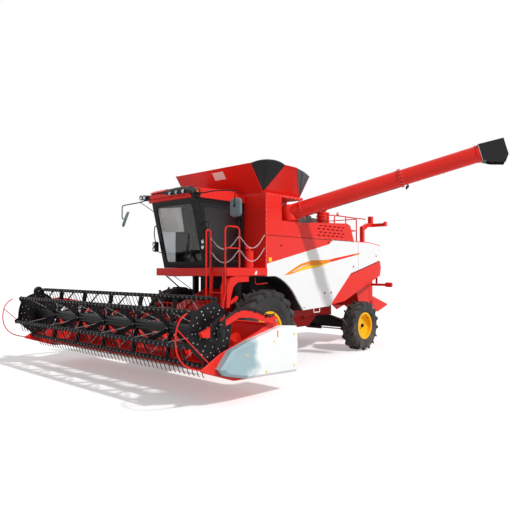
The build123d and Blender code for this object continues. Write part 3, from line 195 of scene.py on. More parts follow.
# %% [markdown]
# ## Paint, dust and scuffs
# Farm machines are sprayed in a thick glossy coat that is never quite even, and dust settles
# on what faces up and on what is low. One could paint this by hand or bake it; a small shader
# group that works from the piece's own coordinates does it for every coat at once, and each
# finish only sets how much of it shows.

# %% Coat group
coat = bpy.data.node_groups.new("Field coat", "ShaderNodeTree")
for label, kind, value in (
        ("Colour", "Color", (0.8, 0.03, 0.02, 1)), ("Dust", "Color", (0.42, 0.36, 0.28, 1)),
        ("Dust amount", "Float", 0.25), ("Dust height", "Float", 1.2), ("Unevenness", "Float", 0.08),
        ("Smooth", "Float", 0.3), ("Rough", "Float", 0.7), ("Peel size", "Float", 160.0)):
    socket = coat.interface.new_socket(label, in_out="INPUT", socket_type="NodeSocket" + kind)
    socket.default_value = value
for label, kind in (("Colour", "Color"), ("Roughness", "Float"), ("Height", "Float")):
    coat.interface.new_socket(label, in_out="OUTPUT", socket_type="NodeSocket" + kind)
given = node(coat, "NodeGroupInput").outputs
place = node(coat, "ShaderNodeTexCoord").outputs
spot = place["Object"]
swing = maths(coat, "MULTIPLY", maths(coat, "SUBTRACT", noise_of(coat, spot, 1.7, 4.0), 0.5),
              given["Unevenness"])
lightness = maths(coat, "ADD", maths(coat, "MULTIPLY", swing, 4.0), 1.0)
grey = node(coat, "ShaderNodeCombineColor", {channel: lightness for channel in range(3)})
coloured = blended(coat, 1.0, given["Colour"], grey.outputs[0], "MULTIPLY")
height_share = maths(coat, "DIVIDE", axes_of(coat, spot)["Z"], given["Dust height"])
low_share = maths(coat, "MAXIMUM", maths(coat, "SUBTRACT", 1.0, height_share), 0.0)
lying = ranged(coat, axes_of(coat, place["Normal"])["Z"], 0.5, 0.95, 0.0, 0.7)
patches = ranged(coat, noise_of(coat, spot, 5.5, 7.0, 0.62), 0.42, 0.68, 0.15, 1.0)
settled = maths(coat, "MULTIPLY", maths(coat, "ADD", low_share, lying), patches)
dusty = maths(coat, "MINIMUM", maths(coat, "MULTIPLY", settled, given["Dust amount"]), 0.85)
scuffs = ranged(coat, noise_of(coat, spot, 38.0, 4.0), 0.45, 0.75, 0.0, 0.14)
node(coat, "NodeGroupOutput", {
    "Colour": blended(coat, dusty, coloured, given["Dust"]),
    "Roughness": ranged(coat, maths(coat, "ADD", dusty, scuffs), 0, 1, given["Smooth"], given["Rough"]),
    "Height": noise_of(coat, spot, given["Peel size"], 2.0, 0.5)})
print("coat group nodes:", len(coat.nodes))

# %% Finishes on the coat
finishes = {}


def bare_finish(name, roughness=0.5, metallic=0.0):
    """A new material with its shader's plain sockets set, and its tree."""
    material = bpy.data.materials.new(name)
    material.use_nodes = True
    shader = material.node_tree.nodes["Principled BSDF"]
    fill(material.node_tree, shader, {"Roughness": roughness, "Metallic": metallic})
    finishes[name] = material
    return material, material.node_tree, shader


def coated(name, colour, dust=0.25, height=1.2, uneven=0.05, smooth=0.28, rough=0.72, peel=150.0,
           bump=0.06, shine=0.22, varnish=0.0):
    """A sprayed or moulded finish: the coat group on a shader."""
    material, tree, shader = bare_finish(name)
    layer = node(tree, "ShaderNodeGroup", {
        "Colour": (*colour, 1), "Dust amount": dust, "Dust height": height, "Unevenness": uneven,
        "Smooth": smooth, "Rough": rough, "Peel size": peel}, node_tree=coat)
    bumps = node(tree, "ShaderNodeBump", {"Strength": bump, "Distance": 0.002,
                                          "Height": layer.outputs["Height"]})
    fill(tree, shader, {"Base Color": layer.outputs["Colour"], "Roughness": layer.outputs["Roughness"],
                        "Normal": bumps.outputs[0], "Specular IOR Level": shine,
                        "Coat Weight": varnish, "Coat Roughness": 0.12})
    return material


RED = (0.80, 0.022, 0.014)
# A darker copy of the red for parts under the body and under overhangs: painted shade.
SHADED_RED = (0.42, 0.008, 0.008)
WHITE = (0.86, 0.87, 0.87)
red_coat = coated("Red coat", RED, dust=0.08, height=1.6, smooth=0.34, varnish=0.06)
shaded_red_coat = coated("Chassis red with painted shade", SHADED_RED, dust=0.22, height=1.3, smooth=0.4, shine=0.15)
arch_shaded_housing_coat = coated("Housing coat with painted arch shade", SHADED_RED, dust=0.15, height=1.2, smooth=0.5, shine=0.12)
white_coat = coated("White coat", WHITE, dust=0.12, height=1.9, uneven=0.02, varnish=0.2)
flank_coat = coated("Flank coat", WHITE, dust=0.12, height=1.9, uneven=0.02, varnish=0.2)
# This colour is replaced below by a blend whose blue-grey nose is painted shade.
cover_coat_with_painted_shade = coated("Cover white with painted nose shade", (0.62, 0.74, 0.76), dust=0.10, height=1.0, uneven=0.03, varnish=0.2)
black_coat = coated("Black coat", (0.008, 0.008, 0.010), dust=0.05, height=1.0, smooth=0.36, rough=0.6)
wheel_coat = coated("Wheel yellow", (0.96, 0.50, 0.004), dust=0.07, height=1.1, uneven=0.06, shine=0.15,
                    varnish=0.08)
amber_coat = coated("Amber stripe", (0.86, 0.26, 0.01), dust=0.05)
sun_yellow_coat = coated("Yellow stripe", (0.92, 0.62, 0.03), dust=0.05)
black_plastic = coated("Black plastic", (0.012, 0.012, 0.014), dust=0.06, height=0.4, smooth=0.5,
                       rough=0.75, peel=420.0, bump=0.25)
rubber_skin = coated("Skirt rubber", (0.018, 0.018, 0.020), dust=0.18, height=0.5, smooth=0.42,
                     rough=0.7, peel=300.0, bump=0.15)
tyre_rubber = coated("Tyre rubber", (0.030, 0.030, 0.033), dust=0.30, height=1.5, uneven=0.2,
                     smooth=0.62, rough=0.9, peel=260.0, bump=0.25)
mirror_shell = coated("Mirror shell", (0.15, 0.185, 0.20), dust=0.05, height=0.4, smooth=0.35)
flap_film = coated("Blank plate", (0.93, 0.92, 0.88), dust=0.0, uneven=0.01, shine=0.1)
chain_coat = coated("Chain white", (0.84, 0.78, 0.80), dust=0.1)
print("coated finishes:", len(finishes))

# %% [markdown]
# ## Bare metal, glass and cloth
# Worn steel on the knife and the tines is bright along its grain and dull where straw rubs it.
# Rods are hard chrome. The cab's panes are tinted, so they take a plain transmission and a
# dark colour, which keeps the seat and the console behind them just readable.

# %% Metal, glass and cloth
def metal(name, colour, roughness, grain, dark=0.6):
    """A bare metal with fine grain and stains."""
    material, tree, shader = bare_finish(name, roughness, 1.0)
    where = own_place(tree)
    stretch = node(tree, "ShaderNodeMapping", {"Vector": where, "Scale": (0.12, 1.0, 1.0)})
    lines = noise_of(tree, stretch.outputs[0], grain, 4.0, 0.6)
    stains = ranged(tree, noise_of(tree, where, 9.0, 5.0), 0.4, 0.66)
    worn = tuple(channel * dark for channel in colour)
    fill(tree, shader, {"Base Color": blended(tree, stains, colour, worn),
                        "Roughness": ranged(tree, lines, 0.3, 0.7, roughness * 0.7, min(1, roughness * 1.5))})
    return material


def pane(name, tint, shine=0.03):
    """Tinted glass, with a faint dust film that only changes its gloss."""
    material, tree, shader = bare_finish(name, shine)
    film = noise_of(tree, own_place(tree), 2.4, 6.0)
    darker = tuple(channel * 0.82 for channel in tint)
    fill(tree, shader, {"Transmission Weight": 1.0, "IOR": 1.45,
                        "Base Color": blended(tree, ranged(tree, film, 0.35, 0.7), tint, darker),
                        "Roughness": ranged(tree, film, 0.4, 0.8, shine, shine + 0.05)})
    return material


def mottled(name, roughness, size, detail, pale, dark):
    """A dull cloth or film whose colour drifts between two tones."""
    material, tree, shader = bare_finish(name, roughness)
    drift = ranged(tree, noise_of(tree, own_place(tree), size, detail), 0.35, 0.65)
    fill(tree, shader, {"Base Color": blended(tree, drift, pale, dark)})
    return material, tree, shader


steel_bare = metal("Worn steel", (0.55, 0.54, 0.52), 0.38, 240.0)
chrome_rod = metal("Rod chrome", (0.80, 0.80, 0.82), 0.10, 300.0, 0.9)
zinc_bolt = metal("Zinc bolt", (0.62, 0.61, 0.58), 0.32, 500.0, 0.75)
cast_grey = metal("Engine grey", (0.20, 0.20, 0.21), 0.55, 60.0)
bright_wire = metal("Stay wire", (0.34, 0.33, 0.34), 0.30, 300.0, 0.8)
reflector = metal("Lamp reflector", (0.85, 0.85, 0.86), 0.12, 90.0, 0.95)
mirror_face = metal("Mirror face", (0.88, 0.90, 0.92), 0.03, 40.0, 0.98)
cab_pane = pane("Cab glass", (0.44, 0.47, 0.50))
door_pane = pane("Door glass", (0.34, 0.38, 0.42), 0.3)
screen_pane = pane("Windscreen glass", (0.83, 0.83, 0.82))
clear_lens = pane("Lamp lens", (0.86, 0.88, 0.90))
amber_lens = pane("Amber lens", (0.95, 0.40, 0.02), 0.08)
red_lens = pane("Red lens", (0.85, 0.04, 0.03), 0.08)
glowing_shade_film, tree, shader = mottled("Shade film with painted glow", 0.8, 5.0, 6.0, (0.90, 0.90, 0.88), (0.78, 0.78, 0.76))
# The shade's faint emission is painted light: it glows in place of the sun that reaches it through the tinted
# glass.
fill(tree, shader, {"Emission Color": (1, 1, 0.98, 1), "Emission Strength": 0.06})
seat_weave, tree, shader = mottled("Seat cloth", 0.85, 14.0, 5.0, (0.035, 0.036, 0.042),
                                   (0.075, 0.076, 0.085))
warp = node(tree, "ShaderNodeTexWave", {"Vector": own_place(tree), "Scale": 260.0, "Distortion": 1.2})
weave_bump = node(tree, "ShaderNodeBump", {"Strength": 0.35, "Distance": 0.0006,
                                           "Height": warp.outputs["Fac"]})
fill(tree, shader, {"Sheen Weight": 0.25, "Normal": weave_bump.outputs[0]})
print("finishes in all:", len(finishes))

# %% [markdown]
# ## Pieces of two colours
# The flank is sprayed white with a red field above a rising line. The line is a cut between two
# coats, so it is made in the material from the panel's own coordinates: a share that turns from
# 0 to 1 within a millimetre. A second mesh laid on top would do as well, but could lift off.
# The housing between the wheels is painted black in the arches and dark red behind them, which is
# painted shade, and the drive's cover is painted blue-grey at its nose, also painted shade, and
# almost white behind, with a slow noise in its edge.

# %% Two-colour coats and painted shade
RED_FIELD = [((213, 2129), (2490, 2617)), ((2490, 2617), (2619, 2704))]
ARCH_SHADE_END, NOSE_SHADE_END = at(0, 1420, 0).y, at(0, -1650, 0).y


def flank_share(tree, where, axes):
    """1 above each line through a pair of (y, z) machine points, 0 below."""
    shares = []
    for (y1, z1), (y2, z2) in RED_FIELD:
        first = at(0, y1, z1)
        rise = maths(tree, "MULTIPLY", maths(tree, "SUBTRACT", axes["Y"], first.y), (z2 - z1) / (y2 - y1))
        over = maths(tree, "SUBTRACT", maths(tree, "SUBTRACT", axes["Z"], first.z), rise)
        shares.append(ranged(tree, over, -0.001, 0.001))
    return maths(tree, "MINIMUM", *shares)


def arch_shade_share(tree, where, axes):
    """0 in the wheel arches, where the black is painted shade, 1 behind them."""
    return ranged(tree, axes["Y"], ARCH_SHADE_END - 0.01, ARCH_SHADE_END + 0.01)


def nose_shade_share(tree, where, axes):
    """0 at the cover's nose, where the blue-grey is painted shade, 1 behind a ragged edge."""
    drift = maths(tree, "MULTIPLY", noise_of(tree, where, 3.2, 2.0), 0.7)
    return ranged(tree, maths(tree, "ADD", axes["Y"], drift), NOSE_SHADE_END - 0.10, NOSE_SHADE_END + 0.14)


# The housing's black arches and the cover's blue-grey nose are painted shade; the flank's white and red are
# its two-tone paint.
for finish, rule, first, second in (
        (flank_coat, flank_share, WHITE, RED), (arch_shaded_housing_coat, arch_shade_share, (0.010, 0.009, 0.010), SHADED_RED),
        (cover_coat_with_painted_shade, nose_shade_share, (0.33, 0.47, 0.51), (0.86, 0.89, 0.89))):
    tree = finish.node_tree
    where = own_place(tree)
    share = rule(tree, where, axes_of(tree, where))
    layer = next(part for part in tree.nodes if part.bl_idname == "ShaderNodeGroup")
    fill(tree, layer, {"Colour": blended(tree, share, first, second)})
print("housing turns red behind y", round(ARCH_SHADE_END, 3), "and the cover pale near y", round(NOSE_SHADE_END, 3))

# %% Paint for every CAD piece
node_finish = {}
for finish, names in (
        (shaded_red_coat, "chassis_frame front_axle knuckle_left knuckle_right"),
        (arch_shaded_housing_coat, "threshing_housing"), (flank_coat, "lower_side_panels"), (cast_grey, "engine_block"),
        (black_coat, "rear_axle front_mudguards cab_frame door_frame reel_rotor lift_barrels tine_bar"),
        (rubber_skin, "tank_corner_skirts unloader_spout"), (chain_coat, "guard_chains"),
        (cab_pane, "cab_glass"), (door_pane, "door_glass"), (seat_weave, "seat"),
        (black_plastic, "driver_station steering_wheel mirrors lamps"), (cover_coat_with_painted_shade, "drive_cover"),
        (steel_bare, "cutterbar"), (chrome_rod, "lift_rods steering_rod"), (tyre_rubber, "tyre"),
        (wheel_coat, "rim")):
    for name in names.split():
        node_finish[name] = finish
for name, piece_object in frame["nodes"].items():
    family = next((start for start in ("tyre", "rim", "tine_bar") if name.startswith(start + "_")), name)
    piece_object.data.materials.clear()
    piece_object.data.materials.append(node_finish.get(family, red_coat))
print("painted CAD pieces:", len(frame["nodes"]))

# %% [markdown]
# ## One bench for all fabricated pieces
# Bent rails, brackets, caps and covers are sawn, turned, bent and welded from a few kinds of
# stock. They could each be an object with its own modifiers, but then nothing is shared. Here
# one small bench gathers rings of points into closed shells, in the machine's millimetres, and
# keeps for every face the finish that it gets.

# %% Easing and circles
def eased(start, corner, end, steps):
    """Points on the easy curve that takes a corner's place."""
    return [start * (1 - t) ** 2 + corner * 2 * t * (1 - t) + end * t ** 2
            for t in (step / steps for step in range(steps + 1))]


def rounded_path(points, bend, steps=5):
    """The same run of points with its corners eased over a bend."""
    points = [Vector(point) for point in points]
    if not bend:
        return points
    run = [points[0]]
    for before, corner, after in zip(points, points[1:], points[2:]):
        back, ahead = before - corner, after - corner
        cut = min(bend, back.length * 0.49, ahead.length * 0.49)
        run += eased(corner + back.normalized() * cut, corner, corner + ahead.normalized() * cut, steps)
    return run + [points[-1]]


def eased_corners(corners, radius, steps=6):
    """A closed outline with each of its corners rounded."""
    loop = []
    for number, corner in enumerate(corners):
        corner = Vector(corner)
        before, after = Vector(corners[number - 1]), Vector(corners[(number + 1) % len(corners)])
        loop += eased(corner + (before - corner).normalized() * radius, corner,
                      corner + (after - corner).normalized() * radius, steps)
    return loop


def circle(middle, aside, above, radius, sides):
    """Points set out round a middle, in the plane of two ways."""
    return [middle + (aside * math.cos(2 * math.pi * k / sides)
                      + above * math.sin(2 * math.pi * k / sides)) * radius for k in range(sides)]


print("a circle of 4 points:", circle(Vector((0, 0)), Vector((1, 0)), Vector((0, 1)), 1, 4)[:2])

# %% Bench
class Bench:
    """Shells gathered in machine millimetres, or in a shape's own when it is local."""

    def __init__(self, local=False):
        self.mesh = bmesh.new()
        self.finishes = []
        self.local = local

    def mark(self, finish):
        """The slot number of a finish, made when it is new."""
        if finish not in self.finishes:
            self.finishes.append(finish)
        return self.finishes.index(finish)

    def rings(self, rings, finish, closed=True, looped=False):
        """A shell through rings of points, each with the same number of points."""
        mark = self.mark(finish)
        rows = [[self.mesh.verts.new(Vector(point) / 1000 if self.local else at(*point)) for point in ring]
                for ring in rings]
        count = len(rows[0])
        faces = [(first[number], first[(number + 1) % count], second[(number + 1) % count], second[number])
                 for first, second in zip(rows, rows[1:] + rows[:1] if looped else rows[1:])
                 for number in range(count if closed else count - 1)]
        if closed and not looped:
            faces += [rows[0], rows[-1]]
        for corners in faces:
            self.mesh.faces.new(corners).material_index = mark

    def prism(self, outline, axis, low, high, finish, bevel=0):
        """An outline drawn out along X or Z, with its long edges softened by a bevel."""
        middle = [sum(corner[k] for corner in outline) / len(outline) for k in (0, 1)]
        half = max(math.hypot(a - middle[0], b - middle[1]) for a, b in outline)
        share = 1 - bevel / half
        steps = [(low, share), (low + bevel, 1), (high - bevel, 1), (high, share)] if bevel \
            else [(low, 1), (high, 1)]
        rings = []
        for across, size in steps:
            drawn = [[centre + (value - centre) * size for value, centre in zip(corner, middle)]
                     for corner in outline]
            rings.append([(across, a, b) if axis == "x" else (a, b, across) for a, b in drawn])
        self.rings(rings, finish)

    def block(self, x, y, z, finish, bevel=2):
        """A block between two values on each axis, its edges cut back a little."""
        (x1, x2), (y1, y2), (z1, z2) = sorted(x), sorted(y), sorted(z)
        cut = min(bevel, (x2 - x1) / 3, (y2 - y1) / 3, (z2 - z1) / 3)
        rings = []
        for height, back in ((z1, cut), (z1 + cut, 0), (z2 - cut, 0), (z2, cut)):
            a, b, c, d = x1 + back, x2 - back, y1 + back, y2 - back
            rings.append([(px, py, height) for px, py in (
                (a + cut, c), (b - cut, c), (b, c + cut), (b, d - cut),
                (b - cut, d), (a + cut, d), (a, d - cut), (a, c + cut))])
        self.rings(rings, finish)

    def turned(self, centre, way, profile, finish, sides=28, looped=False):
        """A lathe shape from steps of distance along a way and radius there, or a ring."""
        way = Vector(way).normalized()
        aside = way.orthogonal().normalized()
        above = way.cross(aside)
        self.rings([circle(Vector(centre) + way * distance, aside, above, radius, sides)
                    for distance, radius in profile], finish, looped=looped)

    def tube(self, points, radius, finish, bend=0, sides=10):
        """Round stock along a path, its section carried without a twist."""
        path = rounded_path(points, bend)
        ways = [(path[min(k + 1, len(path) - 1)] - path[max(k - 1, 0)]).normalized()
                for k in range(len(path))]
        across = ways[0].orthogonal().normalized()
        rings = []
        for middle, way in zip(path, ways):
            across = (across - way * across.dot(way)).normalized()
            rings.append(circle(middle, across, way.cross(across), radius, sides))
        self.rings(rings, finish)

    def absorb(self, mesh, finish):
        """Faces of a finished mesh that is already in the frame's metres."""
        mark = self.mark(finish)
        start = len(self.mesh.faces)
        self.mesh.from_mesh(mesh)
        self.mesh.faces.ensure_lookup_table()
        for number in range(start, len(self.mesh.faces)):
            self.mesh.faces[number].material_index = mark

    def sent(self, name, body=None, replaces=(), sharp=38):
        """The gathered shells as one object, riding on a body and standing for CAD pieces."""
        bmesh.ops.recalc_face_normals(self.mesh, faces=self.mesh.faces[:])
        mesh = bpy.data.meshes.new(name)
        self.mesh.to_mesh(mesh)
        self.mesh.free()
        mesh.shade_smooth()
        mesh.set_sharp_from_angle(angle=math.radians(sharp))
        for finish in self.finishes:
            mesh.materials.append(finish)
        made = linked(name, mesh)
        if body:
            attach(made, body)
            print(name, "faces:", len(mesh.polygons))
        if replaces:
            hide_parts(*replaces)
        return made


print("bench ready")

# %% [markdown]
# ## Repeats
# Lugs, bolts, knife fingers and links are one shape set out many times. Copying meshes in a
# loop would work, yet Geometry Nodes keep the count, spacing and size as named inputs. One
# tree sets a shape out in a straight row and one in a ring, and a third hangs links on a path.

# %% Tree helpers
def repeat_tree(name, sockets):
    """A geometry tree with named inputs, and the outputs of its first node."""
    tree = bpy.data.node_groups.new(name, "GeometryNodeTree")
    for label, kind in (("Geometry", "Geometry"), ("Shape", "Object"), ("Finish", "Material"), *sockets):
        tree.interface.new_socket(label, in_out="INPUT", socket_type="NodeSocket" + kind)
    tree.interface.new_socket("Geometry", in_out="OUTPUT", socket_type="NodeSocketGeometry")
    return tree, node(tree, "NodeGroupInput").outputs


def instanced(tree, given, points, rotation):
    """Instances of the Shape input on points."""
    shape = node(tree, "GeometryNodeObjectInfo", {"Object": given["Shape"]}).outputs["Geometry"]
    return node(tree, "GeometryNodeInstanceOnPoints",
                {"Points": points, "Instance": shape, "Rotation": rotation}).outputs[0]


def ended(tree, given, instances):
    """Realise the instances and give them the Finish input."""
    real = node(tree, "GeometryNodeRealizeInstances", {0: instances}).outputs[0]
    finish = node(tree, "GeometryNodeSetMaterial", {"Geometry": real, "Material": given["Finish"]})
    node(tree, "NodeGroupOutput", {0: finish.outputs[0]})


def about_z(tree, angle):
    """A turn about Z from an angle."""
    return node(tree, "ShaderNodeCombineXYZ", {"Z": angle}).outputs[0]


print("tree helpers ready")

# %% Row and ring trees
row_tree, given = repeat_tree("Row", [("Count", "Int"), ("Start", "Vector"), ("Step", "Vector"),
                                      ("Turn", "Vector")])
line = node(row_tree, "GeometryNodeMeshLine", {"Count": given["Count"], "Start Location": given["Start"],
                                               "Offset": given["Step"]})
ended(row_tree, given, instanced(row_tree, given, line.outputs[0], given["Turn"]))

ring_tree, given = repeat_tree("Ring", [("Count", "Int"), ("Radius", "Float"), ("Phase", "Float"),
                                        ("Centre", "Vector"), ("Turn", "Vector")])
around = node(ring_tree, "GeometryNodeMeshCircle", {"Vertices": given["Count"], "Radius": given["Radius"]})
index = node(ring_tree, "GeometryNodeInputIndex").outputs[0]
own_turn = maths(ring_tree, "MULTIPLY", index, maths(ring_tree, "DIVIDE", 2 * math.pi, given["Count"]))
set_out = instanced(ring_tree, given, around.outputs[0], about_z(ring_tree, own_turn))
phased = node(ring_tree, "GeometryNodeTransform", {"Geometry": set_out,
                                                   "Rotation": about_z(ring_tree, given["Phase"])})
stood = node(ring_tree, "GeometryNodeTransform", {"Geometry": phased.outputs[0], "Rotation": given["Turn"],
                                                  "Translation": given["Centre"]})
ended(ring_tree, given, stood.outputs[0])

print("trees:", row_tree.name, ring_tree.name)

# %% Chain tree
link_tree, given = repeat_tree("Links", [("Pitch", "Float")])
spaced = node(link_tree, "GeometryNodeResampleCurve", {"Curve": given["Geometry"], "Length": given["Pitch"]},
              mode="LENGTH")
stations = node(link_tree, "GeometryNodeCurveToPoints", {"Curve": spaced.outputs[0]},
                mode="EVALUATED").outputs
index = node(link_tree, "GeometryNodeInputIndex").outputs[0]
quarter = about_z(link_tree, maths(link_tree, "MULTIPLY", index, math.pi / 2))
crossed = node(link_tree, "FunctionNodeRotateRotation", {"Rotation": stations["Rotation"],
                                                         "Rotate By": quarter}, rotation_space="LOCAL")
ended(link_tree, given, instanced(link_tree, given, stations["Points"], crossed.outputs[0]))

print("tree:", link_tree.name)

# %% Setting out
def set_out_on(bench, tree, shape, finish, carrier=None, **values):
    """Add to a bench what a tree makes of a shape, with the tree's named inputs set."""
    carrier = carrier or linked("Carrier", bpy.data.meshes.new("Carrier"))
    layout = carrier.modifiers.new("Layout", "NODES")
    layout.node_group = tree
    values.update(Shape=shape, Finish=finish)
    for item in tree.interface.items_tree:
        if item.in_out == "INPUT" and item.name in values:
            value = values[item.name]
            layout[item.identifier] = tuple(value) if isinstance(value, Vector) else value
    bench.absorb(evaluated(carrier), finish)
    bpy.data.objects.remove(carrier)


def row_on(bench, shape, finish, count, start, pitch, turn=0.0):
    """Add to a bench a row of a shape along X."""
    set_out_on(bench, row_tree, shape, finish, Count=count, Start=at(*start),
               Step=Vector((pitch / 1000, 0, 0)), Turn=(0.0, 0.0, turn))


print("shapes are set out on a bench")

# %% [markdown]
# ## Bolts
# Nearly every joint on a machine like this is a zinc plated hexagon bolt on a washer. One head
# with thirty-odd faces is enough for all of them, scaled by its own radius.

# %% Bolt heads in rings and rows
def bolt_heads(bench, tree, way, radius, **values):
    """Hexagon heads on washers, standing along a way, set out by a tree."""
    head = Bench(local=True)
    head.turned((0, 0, 0), (0, 0, 1), [(-2, radius * 1.35), (radius * 0.22, radius * 1.35)], zinc_bolt, 12)
    head.turned((0, 0, radius * 0.22), (0, 0, 1),
                [(0, radius * 0.98), (radius * 0.62, radius * 0.98), (radius * 0.78, radius * 0.78)],
                zinc_bolt, 6)
    shape = head.sent("bolt_shape")
    turn = Vector(way).to_track_quat("Z", "Y").to_euler()
    set_out_on(bench, tree, shape, zinc_bolt, Turn=tuple(turn), **values)
    bpy.data.objects.remove(shape)


def bolt_ring(bench, centre, way, count, ring, radius):
    """Bolt heads set out round a centre."""
    bolt_heads(bench, ring_tree, way, radius, Count=count, Radius=ring / 1000, Phase=0.0, Centre=at(*centre))


def bolt(bench, centre, way, radius):
    """One bolt head."""
    bolt_ring(bench, centre, way, 1, 0.5, radius)


def bolt_row(bench, start, step, count, way, radius):
    """Bolt heads along a line."""
    bolt_heads(bench, row_tree, way, radius, Count=count, Start=at(*start), Step=Vector(step) / 1000)


print("bolt head set out by ring and row")

# %% [markdown]
# ## Tyres
# A field tyre is a soft round body with tall bars that run out and back from its middle and
# clean themselves as it rolls. The body is turned on a lathe with its real shoulders and
# bulging walls. Each bar is a curved loft that follows the crown down to the shoulder, and the
# ring tree sets it out on both sides, half a step apart.

# %% Tyre builder
# name, side, radius, width, rim, lug height, lugs, half track, y
FRONT = (812, 490, 382, 44, 18, 1340, 0)
REAR = (612, 378, 332, 34, 16, 1302, 3766)
WHEELS = [("front_left", 1, *FRONT), ("front_right", -1, *FRONT),
          ("rear_left", 1, *REAR), ("rear_right", -1, *REAR)]
LOFT_STEPS = 8
TYRE_SIDES = 72
# Turns a ring that lies flat until it stands about the machine's X axis
ACROSS = tuple(Matrix(((0, 0, 1), (0, -1, 0), (1, 0, 0))).to_euler())


def tyre_profile(radius, width, rim, lug):
    """Half the tyre's section from its bead to its crown: distance across, radius."""
    tread = radius - lug
    wall = tread - rim
    return [(0.352 * width, rim - 12), (0.372 * width, rim + 4), (0.40 * width, rim + 0.06 * wall),
            (0.452 * width, rim + 0.24 * wall), (0.482 * width, rim + 0.45 * wall),
            (0.484 * width, rim + 0.60 * wall), (0.462 * width, rim + 0.80 * wall),
            (0.430 * width, rim + 0.91 * wall), (0.375 * width, tread - 8), (0.25 * width, tread - 3),
            (0.0, tread)]


def crown_radius(profile, across):
    """The radius of a tyre's outside at a distance across."""
    outer = sorted(step for step in profile if step[1] > profile[5][1])
    for (a1, r1), (a2, r2) in zip(outer, outer[1:]):
        if a1 <= across <= a2:
            return r1 + (r2 - r1) * (across - a1) / (a2 - a1)
    return outer[-1][1]


def lug_shape(radius, width, rim, lug, side):
    """One chevron bar, curved back from the crown to the shoulder, on its own +X radius."""
    profile = tyre_profile(radius, width, rim, lug)
    bar = Bench(local=True)
    sweep, thick = 0.42 * width, 0.070 * radius
    rings = []
    for step in range(LOFT_STEPS + 1):
        t = step / LOFT_STEPS
        across = width * (0.022 + 0.474 * t)
        back = sweep * (0.5 - t ** 0.82)
        foot = crown_radius(profile, min(across, 0.46 * width)) - 12
        top = radius - 3 - 0.10 * lug * t if t < 0.95 else radius - 0.42 * lug
        root, crest = thick * (0.62 + 0.20 * t), thick * (0.42 + 0.10 * t)
        wall = ((foot, root), (top - 5, crest), (top, crest * 0.82))
        ring = [(high, back - half) for high, half in wall]
        ring += [(high, back + half) for high, half in wall[::-1]]
        rings.append([(math.sqrt(max(high ** 2 - aside ** 2, 1)), aside, side * across)
                      for high, aside in ring])
    bar.rings(rings, tyre_rubber)
    return bar.sent("lug_shape")


def wheel_body(name):
    """The body that a wheel rolls with."""
    end, hand = name.split("_")
    return f"{end}_wheel_{hand}"


def tyre_piece(name, side, radius, width, rim, lug, lugs, track, y):
    """A whole tyre about the machine's X axis."""
    tyre = Bench()
    profile = tyre_profile(radius, width, rim, lug)
    section = [(-a, r) for a, r in profile[:-1]] + profile[::-1]
    turns = [2 * math.pi * k / TYRE_SIDES for k in range(TYRE_SIDES + 1)]
    tyre.rings([[(side * track + a, y + r * math.sin(turn), radius + r * math.cos(turn)) for a, r in section]
                for turn in turns[:-1]], tyre_rubber, looped=True)
    for share, across in ((0.30, 0.463), (0.72, 0.474)):
        high = rim + share * (radius - lug - rim)
        for way in (-1, 1):
            tyre.tube([(side * track + way * across * width, y + high * math.sin(turn),
                        radius + high * math.cos(turn)) for turn in turns], 5, tyre_rubber, sides=6)
    for way, phase in ((-1, math.pi / lugs), (1, 0.0)):
        shape = lug_shape(radius, width, rim, lug, way)
        set_out_on(tyre, ring_tree, shape, tyre_rubber, Count=lugs, Radius=0.0, Phase=phase,
                   Centre=at(side * track, y, radius), Turn=ACROSS)
        bpy.data.objects.remove(shape)
    tyre.sent("tyre_rubber_" + name, wheel_body(name), ["tyre_" + name], sharp=30)


for wheel in WHEELS:
    tyre_piece(*wheel)

# %% [markdown]
# ## Wheel hardware
# Studs and nuts hold each disc to its hub, and a cap keeps the bearing clean. They are turned
# and set out in a ring, on the same body as the wheel so that they roll with it.

# %% Hub caps, nuts and valves
HUBS = {"front": (10, 13, 120, 40), "rear": (8, 11, 90, 20)}    # nuts, nut size, hub, web's distance
VALVE_TURN = 0.9
for name, side, radius, width, rim, lug, lugs, track, y in WHEELS:
    count, nut, hub, web = HUBS[name.split("_")[0]]
    bench = Bench()
    bench.turned((side * (track + hub * 0.62 + 1), y, radius), (side, 0, 0),
                 [(-3, hub * 0.56), (14, hub * 0.54), (34, hub * 0.44), (44, hub * 0.20), (46, 3)],
                 black_coat)
    bolt_ring(bench, (side * (track + hub * 0.30 + 3), y, radius), (side, 0, 0), count, hub * 0.82, nut)
    bench.turned((side * (track + web + 6), y, radius), (side, 0, 0),
                 [(-4, hub + 84), (3, hub + 84), (3, hub + 60), (-8, hub + 60)], wheel_coat, 40)
    reach = 0.985 * (rim - 42)
    valve = [(side * (track + web + out), y + reach * share * math.sin(VALVE_TURN),
              radius + reach * share * math.cos(VALVE_TURN)) for out, share in ((30, 1), (60, 1), (92, 0.97))]
    bench.tube(valve, 5, black_plastic, bend=10, sides=8)
    bench.sent("wheel_hardware_" + name, wheel_body(name))

# %% [markdown]
# ## Reel
# The reel's six bars carry spring tines that always hang the same way while the reel turns.
# Each tine is one bent wire, with a coil that wraps the bar so it can give. A modelled spring
# for each would be wasteful, so one light shape is set out along each bar by the row tree, with
# its clamp. Rods brace the bars' long spans from the middle tube.

# %% Tine bars
REEL = (-2656, 1111)          # y, z of the reel's shaft
REEL_RADIUS = 486
BARS = 6
TINES = 48
TINE_PITCH = 108
FIRST_TINE = -(TINES - 1) / 2 * TINE_PITCH
COIL_RADIUS, COIL_START, COIL_STEP = 23, 3.6, 0.785
TINE_LEAN = math.radians(25)


def about_reel(number, radius):
    """The (y, z) point on one of the reel's arms."""
    turn = math.radians(20 + 60 * number)
    return (REEL[0] + radius * math.cos(turn), REEL[1] + radius * math.sin(turn))


